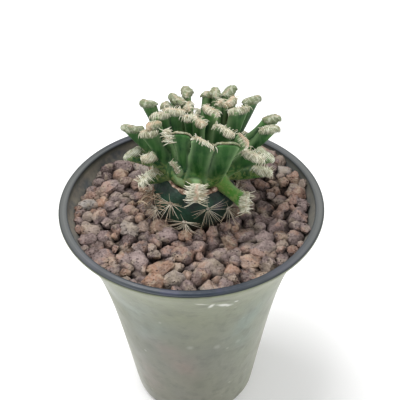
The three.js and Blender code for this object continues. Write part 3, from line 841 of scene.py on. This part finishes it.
def callus_surface(rings=20, steps=240):
    """A lumpy ring: a round section carried about the stock's axis, its thickness and
    radius broken by slow waves of the azimuth, and slighter at the left."""
    around, section = circle(steps)[:, None], circle(rings)
    lump = 1 + 0.3 * np.sin(3 * around + 1.3) * np.sin(7 * around) + 0.1 * np.sin(17 * around + 2)
    girth = CALLUS_GIRTH + 0.45 * np.sin(3 * around + 0.6) + 0.15 * np.sin(13 * around)
    hidden = hump(np.degrees(around) - 285, 32)
    thick = CALLUS_THICKNESS * lump * (1 - 0.45 * hidden)
    radial = girth - 1.3 * hidden + thick * np.cos(section) * 1.05
    height = CALLUS_HEIGHT + thick * np.sin(section) * 0.8
    verts = np.stack([radial * np.sin(around), -radial * np.cos(around), height], -1)
    verts[..., :2] += STOCK_CENTRE / MM
    ring, tube = np.indices((steps, rings)).reshape(2, -1)
    after, above = (ring + 1) % steps, (tube + 1) % rings
    quad = (ring, tube), (after, tube), (after, above), (ring, above)
    faces = np.stack([along * rings + about for along, about in quad], -1)
    return verts.reshape(-1, 3) * MM + [0, 0, RIM], faces


callus = make_piece("graft_callus", *callus_surface(), 80)
callus.data.materials.append(crumbly_finish(
    "dried_callus", 0.85, 800, 0.5 * MM, (0, (0.14, 0.08, 0.05)), (0.4, (0.45, 0.29, 0.21)),
    (1, (0.7, 0.55, 0.44))))
paths, widths = [], []
t = np.linspace(0, 1, SPINE_POINTS)[:, None]
for _ in range(SCRAPS):
    start = np.array([rng.uniform(*span) for span in SCRAP_STARTS])
    end = start + np.array([rng.uniform(*span) for span in SCRAP_RUNS])
    off = end[:2] - STOCK_CENTRE / MM
    end[:2] = STOCK_CENTRE / MM + off * max(1, 11.4 / np.linalg.norm(off))
    path = start + (end - start) * t + UP * rng.uniform(0.3, 1.2) * np.sin(np.pi * t)
    path += rng.normal(size=3) * 0.4 * t ** 2
    paths.append(path * MM + UP * RIM)
    widths.append(rng.uniform(0.07, 0.2) * np.sin(np.pi * (0.12 + 0.8 * t[:, 0])) * MM)
rust_fibre = spine_finish("rust_brown_fibre", (0.2, 0.12, 0.07), (0, (0.13, 0.06, 0.04)),
                          (0.4, (0.25, 0.15, 0.09)), (1, (0.5, 0.42, 0.3)))
scraps = spine_piece("dried_fibres", paths, widths, 5, rng.uniform(0, 1, SCRAPS), rust_fibre)
for piece in (callus, scraps):
    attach(piece, "root")
    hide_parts("rootstock")


# Scion. The grafted Mammillaria: a small round heart from which flattened green
# tubercles rise, narrow at the neck and widening to a long end face. It grew as
# one body, so its surface is joined into one skin.
SCION_AXIS = np.array([2.5, 2.5])
HEART_CENTRE = np.array([1.8, 2.0])
HEART_PROFILE = [(8.2, 7.8), (9.1, 9.2), (9.1, 11.6), (7.8, 14.4), (4.4, 16.8), (0.6, 17.8)]
AREOLE_WIDTH = 2.8
END_LONG = 0.47  # half of the end face, in lengths and widths of the areole
END_WIDE = 0.4
SLIM = 1.2
# azimuth and reach from the axis, height above the rim, the end face's facing and
# lift, twist of the areole, its length and the neck, in degrees and millimetres, and
# how far the comb's spines stand off, from 0 for pressed down to 1 for spread
CROWN = [
    (0, 3.0, 26.5, 0, 75, 50, 4.5, SLIM, 0.6),
    (98, 3.3, 27.5, 98, 80, -57, 6.0, SLIM, 0.5),
    (-68, 2.6, 26.5, -68, 80, -32, 4.5, SLIM, 0.7),
    (-142, 4.4, 27.0, -142, 85, -33, 5.0, SLIM, 0.4),
    (127, 7.4, 27.5, 127, 85, 27, 3.4, SLIM, 0.5),
    (-102, 6.8, 27.0, -102, 82, -9, 6.5, SLIM, 0.7),
    (56, 7.8, 24.5, 56, 75, 7, 6.5, SLIM, 0.6),
]
SHOULDER = [
    (-36, 7.7, 24.5, 149, 64, -64, 6.0, 0.9, 0),
    (6, 9.4, 24.0, 100, 67, -25, 7.0, 3.4, 0.5),
    (34, 11.8, 23.5, -171, 66, 80, 7.6, 2.6, 0),
    (-54, 10.3, 24.0, -34, 20, 33, 4.0, SLIM, 0.9),
    (123, 10.1, 27.0, 123, 88, 18, 6.0, SLIM, 0.35),
    (105, 11.1, 26.0, 105, 90, 10, 6.6, 1.9, 0.35),
    (168, 10.8, 26.5, 168, 85, 0, 2.8, SLIM, 0.1),
    (-145, 10.3, 26.5, -145, 88, 3, 7.0, SLIM, 0.2),
    (-100, 10.5, 25.5, -100, 75, 0, 6.0, SLIM, 0.5),
    (-121, 10.5, 26.5, -121, 80, -28, 2.6, SLIM, 0.2),
    (58, 13.4, 23.0, 60, 43, -14, 4.6, SLIM, 0.6),
]
OUTER = [
    (158, 13.2, 26.0, 158, 85, 18, 6.4, SLIM, 0.1),
    (146, 15.7, 26.0, 146, 85, 0, 7.0, 1.9, 0.1),
    (-165, 12.5, 26.5, -165, 88, -10, 6.2, SLIM, 0.1),
    (-127, 17.6, 24.0, -127, 84, 5, 5.7, SLIM, 0.05),
    (125, 18.3, 24.5, 125, 88, 4, 6.5, 1.9, 0.1),
    (-82, 13.6, 22.5, -82, 75, -13, 5.5, 1.9, 0.3),
    (-85, 12.2, 24.5, -85, 75, 0, 4.5, SLIM, 0.2),
    (107, 21.2, 21.0, 107, 86, -6, 5.6, 2.9, 0.1),
    (99, 19.5, 19.5, 99, 86, 14, 6.6, SLIM, 0.3),
    (-107, 19.5, 19.0, -107, 86, -2, 7.0, SLIM, 0.05),
    (69, 15.2, 17.0, 42, 69, 25, 7.2, SLIM, 1),
    (84, 18.4, 14.5, 67, 60, -8, 6.0, SLIM, 0.1),
]
LOW = [
    (76, 17.8, 11.0, 30, 73, 41, 5.8, SLIM, 1),
    (47, 16.9, 5.5, 27, 32, -27, 6.0, SLIM, 1),
    (-5, 13.2, 10.4, -5, 20, 0, 5.4, 1.9, 1.7),
    (-78, 14.8, 8.5, -27, 60, -33, 7.0, 1.9, 0.9),
    (-104, 19.8, 11.0, -65, 66, 0, 6.0, SLIM, 0.05),
    (-81, 13.4, 15.0, -21, 68, -52, 6.2, SLIM, 0.4),
    (-42, 9.8, 15.0, -36, 1, 51, 4.0, SLIM, 0.3),
]
BACK = [
    (178, 16.5, 17.0, 178, 65, 5, 6.5, SLIM, 0.3),
    (-158, 18.0, 17.5, -158, 70, -5, 6.5, SLIM, 0.2),
    (150, 19.0, 16.0, 150, 65, 0, 6.5, SLIM, 0.3),
    (-140, 19.0, 12.0, -140, 50, 5, 6.5, SLIM, 0.4),
    (168, 18.5, 10.0, 168, 35, 0, 6.0, SLIM, 0.5),
    (130, 19.0, 11.0, 130, 45, -5, 6.5, SLIM, 0.3),
    (-168, 17.5, 8.0, -168, 25, 0, 6.0, SLIM, 0.6),
    (105, 16.5, 8.5, 105, 30, 0, 6.0, SLIM, 0.5),
    (-125, 16.5, 7.0, -125, 20, 0, 6.0, SLIM, 0.6),
]
TUBERCLES = CROWN + SHOULDER + OUTER + LOW + BACK
YOUNG = LOW[1]  # the lowest one at the right is fresh green
BLUSHED = SHOULDER[4]  # one of the crown's tubercles has a red-brown flank
BARE = SHOULDER[:3]  # the long, nearly bare ones in front: green to the tip, with ends that curve down
LINE_STEPS = 30
VOXEL = 0.3 * MM
NET_TOP = 14.5  # under this height in mm a pale net shows, and under the other it is browned
BROWN_TOP = 10.2


def tubercle_frame(row):
    """Root, tip and the end face's normal, long and cross directions, in millimetres from
    the rim's level."""
    azimuth, reach, height, facing, lift, twist = row[:6]
    away, ahead = outward(azimuth), outward(facing)
    angle, turn = np.radians(lift), np.radians(twist)
    tip = away * reach + np.append(SCION_AXIS, height)
    normal = ahead * np.cos(angle) + UP * np.sin(angle)
    down = ahead * np.sin(angle) - UP * np.cos(angle)
    long = down * np.cos(turn) + np.cross(normal, down) * np.sin(turn)
    across = np.cross(normal, long)
    root = away * min(6, 0.55 * reach) + np.append(HEART_CENTRE, max(9.8, 15 - 0.6 * reach))
    return root, tip, normal, long, across


def ease(a, b, c, t):
    """Curve from a to c that heads for b: a(1-t)^2 + 2bt(1-t) + ct^2."""
    return a * (1 - t) ** 2 + 2 * b * t * (1 - t) + c * t ** 2


def tubercle_line(row):
    """The bent middle line of a tubercle from root to tip, with the two directions
    across it and half of its width and thickness at each step."""
    root, tip, normal, long, _ = tubercle_frame(row)
    length, neck = row[6:8]
    run = tip - root
    middle = tip - unit(unit(run) * 1.3 + normal) * 0.5 * np.linalg.norm(run)
    t = np.linspace(0, 1, LINE_STEPS)[:, None]
    tangent = unit(2 * (middle - root) * (1 - t) + 2 * (tip - middle) * t)
    tangent = unit(tangent * (1 - t ** 2) + normal * t ** 2)
    wide = unit(long - tangent * (tangent @ long)[:, None])
    flare = np.clip((t - 0.5) / 0.5, 0, 1) ** 2.2
    half_wide = ease(3.0, neck, 0.36 * length, t) * (1 - flare) + END_LONG * length * flare
    half_thin = ease(2.7, SLIM, 0.42 * AREOLE_WIDTH, t) * (1 - flare) + END_WIDE * AREOLE_WIDTH * flare
    return ease(root, middle, tip, t), wide, np.cross(wide, tangent), half_wide, half_thin


def end_drop(row):
    """How far the ends of the end face curve down."""
    return 1.3 if row in BARE else 0.3


def boxed_circle(steps, power):
    """A circle drawn towards a square: sign(cos a) |cos a|^power, and the same of sin a."""
    angle = circle(steps)
    return [np.sign(wave) * np.abs(wave) ** power for wave in (np.cos(angle), np.sin(angle))]


def tubercle_surface(row, steps=36):
    """A flattened finger: rounded-square rings carried along the middle line, flared over
    its upper half and closed in a low dome."""
    root, tip, normal, long, across = tubercle_frame(row)
    centre, wide, thin, half_wide, half_thin = tubercle_line(row)
    x, z = boxed_circle(steps, 0.8)
    body = (centre[:, None] + (half_wide * x)[:, :, None] * wide[:, None]
            + (half_thin * z)[:, :, None] * thin[:, None])
    drop = end_drop(row) * np.abs(x[:, None]) ** 4 * normal
    body -= np.linspace(0, 1, LINE_STEPS)[:, None, None] ** 6 * drop
    dome = []
    for scale, raised in ((0.88, 0.12), (0.65, 0.2), (0.35, 0.24)):
        along, aside = END_LONG * row[6] * scale * x, END_WIDE * AREOLE_WIDTH * scale * z
        ring = tip + along[:, None] * long - aside[:, None] * across
        dome.append(ring + normal * raised - drop * scale ** 4)
    verts = np.vstack([body.reshape(-1, 3)] + dome + [root[None], (tip + normal * 0.25)[None]])
    return verts, grid_faces(LINE_STEPS + 3, steps)


def heart_surface(steps=64):
    """The heart: a squat round body on the cut of the stock, as a profile turned about
    the axis."""
    line = np.vstack([[(0, 7.8)], smooth_profile(HEART_PROFILE, 30), [(0, 17.85)]])
    verts, faces = revolve(line, steps)
    verts[:, :2] += HEART_CENTRE
    return verts, faces


blocks, all_faces, offset = [], [], 0
for verts, faces in [heart_surface()] + [tubercle_surface(row) for row in TUBERCLES]:
    blocks.append(verts)
    all_faces += [[v + offset for v in face] for face in faces]
    offset += len(verts)
scion = make_piece("scion_body", np.vstack(blocks) * MM + [0, 0, RIM], all_faces)
skin = scion.modifiers.new("skin", "REMESH")
skin.mode = "VOXEL"
skin.voxel_size = VOXEL
soften = scion.modifiers.new("soften", "SMOOTH")
soften.factor = 0.5
soften.iterations = 4
apply_modifiers(scion)
scion.data.shade_smooth()


def skin_values(points):
    """Where each point of the skin lies: how far along the nearest tubercle, how near its
    narrow edge, and how deep in a groove between two tubercles, each from 0 to 1, and the
    number of the nearest tubercle."""
    best, second = np.full((2, len(points)), 1e9)
    along, edge, owner = np.zeros((3, len(points)))
    for number, row in enumerate(TUBERCLES):
        centre, wide, thin, half_wide, half_thin = tubercle_line(row)
        apart = points[:, None] - centre[None]
        nearest = np.einsum("nkj,nkj->nk", apart, apart).argmin(1)
        off = apart[np.arange(len(points)), nearest]
        sideways = np.einsum("nj,nj->n", off, wide[nearest])
        through = np.einsum("nj,nj->n", off, thin[nearest])
        beyond = np.sqrt(np.maximum((off ** 2).sum(1) - sideways ** 2 - through ** 2, 0)) / 2
        x, z = sideways / half_wide[nearest, 0], through / half_thin[nearest, 0]
        distance = np.sqrt(x ** 2 + z ** 2 + beyond ** 2)
        closer = distance < best
        second = np.where(closer, best, np.minimum(second, distance))
        along = np.where(closer, nearest / (LINE_STEPS - 1), along)
        edge = np.where(closer, np.abs(x), edge)
        owner = np.where(closer, number, owner)
        best = np.where(closer, distance, best)
    groove = np.exp(-np.maximum(second - best, 0) / 0.35)
    return along, np.clip(edge, 0, 1) ** 4, groove, owner


coords = (points_of(scion) - [0, 0, RIM]) / MM
height = coords[:, 2]
along, edge, groove, owner = skin_values(coords)
on_bare = np.isin(owner, [TUBERCLES.index(row) for row in BARE])
_, tip, normal, _, _ = tubercle_frame(BLUSHED)
off_heart = np.hypot(coords[:, 0] - HEART_CENTRE[0], coords[:, 1] - HEART_CENTRE[1])
set_attributes(
    scion, edge=edge, groove=groove, along=np.where(on_bare, np.minimum(along, 0.8), along),
    young=np.where(owner == TUBERCLES.index(YOUNG), np.clip((height - 2) / 7, 0, 1), 0),
    blush=hump(np.linalg.norm(coords - (tip - normal * 5.2), axis=1), 2.4),
    browned=np.clip((BROWN_TOP - height) / 2.2, 0, 1) * np.clip((12 - off_heart) / 2.5, 0, 1),
    low=np.clip((NET_TOP - height) / 3.5, 0, 1))


def scion_finish():
    """Satin green skin: deep green in the grooves as painted shade, mid green on the flanks,
    paler along the narrow edges as a painted highlight and paler under the end face, with soft
    patches and fine dots; browned by the graft, and red-brown on one flank."""
    skin = Finish("green_tubercle_skin", 0.42, Specular_IOR_Level=0.12)
    base = skin.coats(
        skin.read("along", (0.05, (0.045, 0.15, 0.01)), (0.35, (0.009, 0.058, 0.006)),
                  (0.75, (0.008, 0.052, 0.013)), (0.92, (0.05, 0.14, 0.04)), (1, (0.33, 0.42, 0.24))),
        ((0.003, 0.028, 0.014), skin.mottled(170, 6), 0.7),
        ((0.08, 0.23, 0.05), skin.mottled(230, 6, Location=(0.3, 0.2, 0.1)), 0.27),
        ((0.12, 0.34, 0.035), skin.read("young"), 0.7),
        # painted highlight: paler along the narrow edges
        ((0.34, 0.5, 0.25), skin.read("edge"), 0.75),
        # painted shade: deep green in the grooves between tubercles
        ((0.003, 0.022, 0.013), skin.read("groove", (0.3, 0), (0.95, 0.85)),
         skin.read("along", (0.12, 0.15), (0.4, 1))),
        ((0.16, 0.28, 0.11), skin.mottled(800, 7, Scale=(1, 1, 0.22)), 0.2),
        ((0.16, 0.045, 0.03), skin.read("blush"), 0.75),
        ((0.26, 0.3, 0.1), skin.mottled(1000, 6, (0.4, 0), (0.9, 0.45)), skin.read("low")),
        ((0.12, 0.11, 0.035), skin.read("browned"), 0.45))
    return skin.finished(base, skin.noise(1100, 4))


scion.data.materials.append(scion_finish())
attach(scion, "root")
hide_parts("scion")


# Areoles of the scion. Each tubercle ends in a long cushion of flat spines pressed
# down to both sides of a felted midline, like the feet of a woodlouse, so that they
# make one ribbed shell. On young and low tubercles the spines also stand off freely.
COMB_PITCH = 0.43
COMB_HALF_LONG = 0.51  # in lengths of the areole
SHELL_RINGS = 80
SHELL_STEPS = 22
FREE_FROM = 0.25  # the least spread at which spines stand off freely
FREE_WIDTHS = [0.08, 0.1, 0.095, 0.085, 0.065, 0.03]
DRIED = OUTER[6], SHOULDER[1], SHOULDER[4], SHOULDER[10], LOW[2]  # these tips have dried to a tan orange
SHRIVELLED = SHOULDER[1], SHOULDER[10], LOW[6]  # their combs have shrunk to a thin ridge
BLEACHED = OUTER[11], LOW[4], LOW[5]  # these low tips at the two sides are cream


def comb_shell(row, rng):
    """Ribbed saddle over the end face. Along s from -1 to 1 its section closes as
    (1 - |s|^2.6)^(1/2.6); it is a soft box on top, and its sides hang as a skirt whose depth
    and width swell at each spine; a groove runs along the midline and slow waves make it
    uneven. Returns points, rib height and distance from the midline."""
    _, tip, normal, long, across = tubercle_frame(row)
    length, _, spread = row[6:]
    thin = 0.0 if spread == 0 else 0.35 if row in SHRIVELLED else 1.0
    plump = 0.8 if 0.3 < spread < 1 and row[2] > 20 else 1.5 if spread > 1 else 1.0
    s = np.linspace(-1, 1, SHELL_RINGS + 2)[1:-1, None]
    c, w = boxed_circle(SHELL_STEPS, 0.85)
    side = np.abs(c)
    close = (1 - np.abs(s) ** 2.6) ** (1 / 2.6)
    teeth = max(5, round(length / COMB_PITCH))
    phase = teeth * s / 2 + 0.9 * s * side + 0.5 * rng.uniform() + 0.25 * np.sign(c)
    rib = 0.5 + 0.5 * np.cos(2 * np.pi * phase)
    uneven = sum(rng.uniform(-1, 1) * np.sin(k * s + 1.3 * k * c + rng.uniform(0, 6.28))
                 for k in (3, 5, 8, 12))
    taper = 1 + rng.uniform(-0.28, 0.28) * s
    swell = 1 + 0.3 * (rib - 0.5) * side ** 1.5 + 0.06 * uneven
    half = (0.2 + 0.33 * thin) * plump * AREOLE_WIDTH * close * taper * swell
    top = np.where(w > 0, (0.3 + 0.3 * thin) * (1 - 0.3 * hump(c, 0.2)), 0.2)
    swell = 1 + 0.2 * (rib - 0.5) + 0.2 * uneven
    rise = 0.5 - 0.38 * thin + np.sign(w) * np.abs(w) ** 0.8 * top * close ** 0.8 * swell
    rise = rise - thin * (0.75 + 0.5 * (rib - 0.5)) * side ** 3 * close - end_drop(row) * np.abs(s) ** 4
    bend = (0.45 - 0.2 * thin) * np.sin(3 * s + 6.28 * rng.uniform())
    half_long = COMB_HALF_LONG * length
    points = (tip + normal * rise[:, :, None] + long * (half_long * s)[:, :, None]
              + across * (half * c + bend)[:, :, None])
    ends = np.array([tip - long * half_long, tip + long * half_long]) - normal * 0.15
    middle = np.where((w > 0) & (thin > 0), side, 1) * np.ones_like(s)
    return (np.vstack([points.reshape(-1, 3), ends]), np.append(rib.ravel(), [0.5, 0.5]),
            np.append(middle.ravel(), [1, 1]))


rng = np.random.default_rng(5)
shells, ribs, middles, warmth = [], [], [], []
for row in TUBERCLES:
    points, rib, middle = comb_shell(row, rng)
    points[:, 2] = np.minimum(points[:, 2], (cad_high[2] - RIM) / MM - 0.1)
    shells.append(points * MM + [0, 0, RIM])
    ribs.append(rib)
    middles.append(middle)
    warm = np.clip(1.15 - row[1] / 15 + rng.uniform(-0.15, 0.15), 0, 1) * 0.7
    warmth.append(1.0 if row in DRIED else warm)
# the cosine term is painted light: heads towards the front right are lighter
lighter = [0.15 * rng.uniform() + 0.09 * np.cos(np.radians(row[0] - 20)) + 0.5 * (row in BLEACHED)
           + row[8] * (1.2 if row[8] < 0.8 else 1) for row in TUBERCLES]
combs = make_piece("scion_combs", *repeated(np.array(shells), grid_faces(SHELL_RINGS, SHELL_STEPS)), 70)
warmth, freshness = np.repeat([warmth, np.clip(lighter, 0, 1)], len(shells[0]), axis=1)
set_attributes(combs, rib=np.concatenate(ribs), side=np.concatenate(middles), warmth=warmth,
               freshness=freshness)


def comb_finish():
    """Grey-green to cream spines lying side by side with dark lines between them, lighter
    on the heads towards the front right as painted light, with pale flecks of painted glint, a
    felted midline that is tan to pink, and a warmer, drier colour on some tips."""
    comb = Finish("comb_of_flat_spines", 0.65, Specular_IOR_Level=0.3)
    fresh, warm = comb.read("freshness"), comb.read("warmth")
    spine = comb.mix(fresh, (0.2, 0.23, 0.132), (0.82, 0.82, 0.67))
    line = comb.mix(fresh, (0.06, 0.09, 0.04), (0.13, 0.17, 0.07))
    wool = comb.mix(comb.mottled(1500, 5), (0.2, 0.12, 0.07), (0.6, 0.48, 0.38))
    base = comb.coats(
        comb.mix(comb.read("rib", (0.1, 0), (0.6, 1)), line, spine),
        (comb.mix(fresh, (0.15, 0.2, 0.09), (0.32, 0.32, 0.2)), comb.mottled(420, 6), 0.6),
        ((0.13, 0.14, 0.07), comb.mottled(1100, 7), 0.28),
        # painted glints: pale flecks on the spines
        ((0.86, 0.87, 0.75), comb.mottled(800, 8, (0.55, 0), (1, 0.25))),
        ((0.6, 0.36, 0.23), warm, 0.45, comb.mottled(300, 6)),
        (comb.mix(warm, wool, (0.55, 0.3, 0.22)), comb.read("side", (0.12, 0.75), (0.34, 0)),
         comb.mottled(700, 5)))
    return comb.finished(base, comb.mottled(2400, 4), depth=0.2 * MM)


combs.data.materials.append(comb_finish())
paths, tints = [], []
t = np.linspace(0, 1, len(FREE_WIDTHS))[:, None]
for row in TUBERCLES:
    _, tip, normal, long, across = tubercle_frame(row)
    length, _, spread = row[6:]
    if spread < FREE_FROM:
        continue
    teeth = round((0.6 + 0.5 * spread ** 1.6) * length / COMB_PITCH)
    bare = 0.15 + 0.35 * max(spread - 1, 0) / 0.7
    for k in range(teeth):
        place = ((k + 0.5) / teeth - 0.5) * length * 0.95
        for side in (-1, 1):
            reach = 1.2 + 0.95 * spread + rng.uniform(-0.45, 0.3)
            fan = place * (0.06 + 0.14 * spread) + rng.normal() * (0.25 + 0.3 * spread)
            stand = 0.2 + 0.45 * spread + rng.normal() * 0.2
            path = tip + long * (place + fan * t) + across * side * (bare + reach * t)
            path = path + normal * (0.45 + stand * np.sin(2.0 * t) - 0.9 * t ** 2)
            path = path * MM + [0, 0, RIM]
            path[:, 2] = np.minimum(path[:, 2], cad_high[2] - 0.2 * MM)
            paths.append(path)
            tints.append(rng.uniform())
widths = np.tile(np.array(FREE_WIDTHS) * MM, (len(paths), 1))
cream_spine = spine_finish("cream_comb_spine", (0.76, 0.71, 0.56), (0, (0.82, 0.81, 0.69)),
                           (0.5, (0.58, 0.57, 0.43)), (1, (0.3, 0.26, 0.15)))
free_spines = spine_piece("scion_free_spines", paths, widths, 4, tints, cream_spine)
for piece in (combs, free_spines):
    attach(piece, "root")
    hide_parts("scion")


# Stage: a plain pale floor, white surroundings with large soft lamps to the left
# and right, and the camera where the photograph was taken from.
FLOOR_SIZE = 3.0
FLOOR_GLOW = 0.12
ROOM_GLOW = 0.55
PLANT = (0, 0, 0.08)
VIEW_RANGE = 5 * RIM_RADIUS  # from the lens to the middle of the rim
VIEW_ELEVATION = np.radians(40.02)
VIEW_PITCH = 40.23
VIEW_YAW = 0.97
VIEW_ROLL = -0.56
FOCAL_PIXELS = 658.9
FRAME_PIXELS = 400
SENSOR = 36

corners = [(x * FLOOR_SIZE, y * FLOOR_SIZE, 0) for x, y in ((-1, -1), (1, -1), (1, 1), (-1, 1))]
floor = make_piece("pale_floor", corners, [(0, 1, 2, 3)])
paint = Finish("pale_floor_paint", 0.8, Emission_Color=(1, 1, 1, 1), Emission_Strength=FLOOR_GLOW)
floor.data.materials.append(paint.finished(paint.mottled(3, 0.4, (0, 0.9), (1, 0.93))))

world = bpy.data.worlds.new("white_room")
world.use_nodes = True
world.node_tree.nodes["Background"].inputs["Color"].default_value = (1, 1, 1, 1)
world.node_tree.nodes["Background"].inputs["Strength"].default_value = ROOM_GLOW
bpy.context.scene.world = world


def soft_lamp(name, place, size, power):
    """Square area lamp that looks at the plant."""
    lamp = bpy.data.lights.new(name, "AREA")
    lamp.size = size
    lamp.energy = power
    made = bpy.data.objects.new(name, lamp)
    made.location = place
    made.rotation_euler = (Vector(PLANT) - Vector(place)).to_track_quat("-Z", "Y").to_euler()
    bpy.context.scene.collection.objects.link(made)


soft_lamp("key_lamp", (-0.25, 0.1, 0.85), 0.5, 7.3)
soft_lamp("fill_lamp", (0.6, -0.4, 0.5), 0.6, 1.8)

lens = bpy.data.cameras.new("photo_camera")
lens.sensor_width = SENSOR
lens.lens = SENSOR * FOCAL_PIXELS / FRAME_PIXELS
lens.clip_start = 0.01
camera = bpy.data.objects.new("photo_camera", lens)
camera.location = (0, -VIEW_RANGE * np.cos(VIEW_ELEVATION), RIM + VIEW_RANGE * np.sin(VIEW_ELEVATION))
aim = Matrix.Rotation(np.radians(-VIEW_YAW), 3, "Z") @ Matrix.Rotation(np.radians(90 - VIEW_PITCH), 3, "X")
camera.rotation_euler = (aim @ Matrix.Rotation(np.radians(VIEW_ROLL), 3, "Z")).to_euler()
bpy.context.scene.collection.objects.link(camera)
bpy.context.scene.camera = camera
bpy.context.scene.view_settings.view_transform = "Standard"
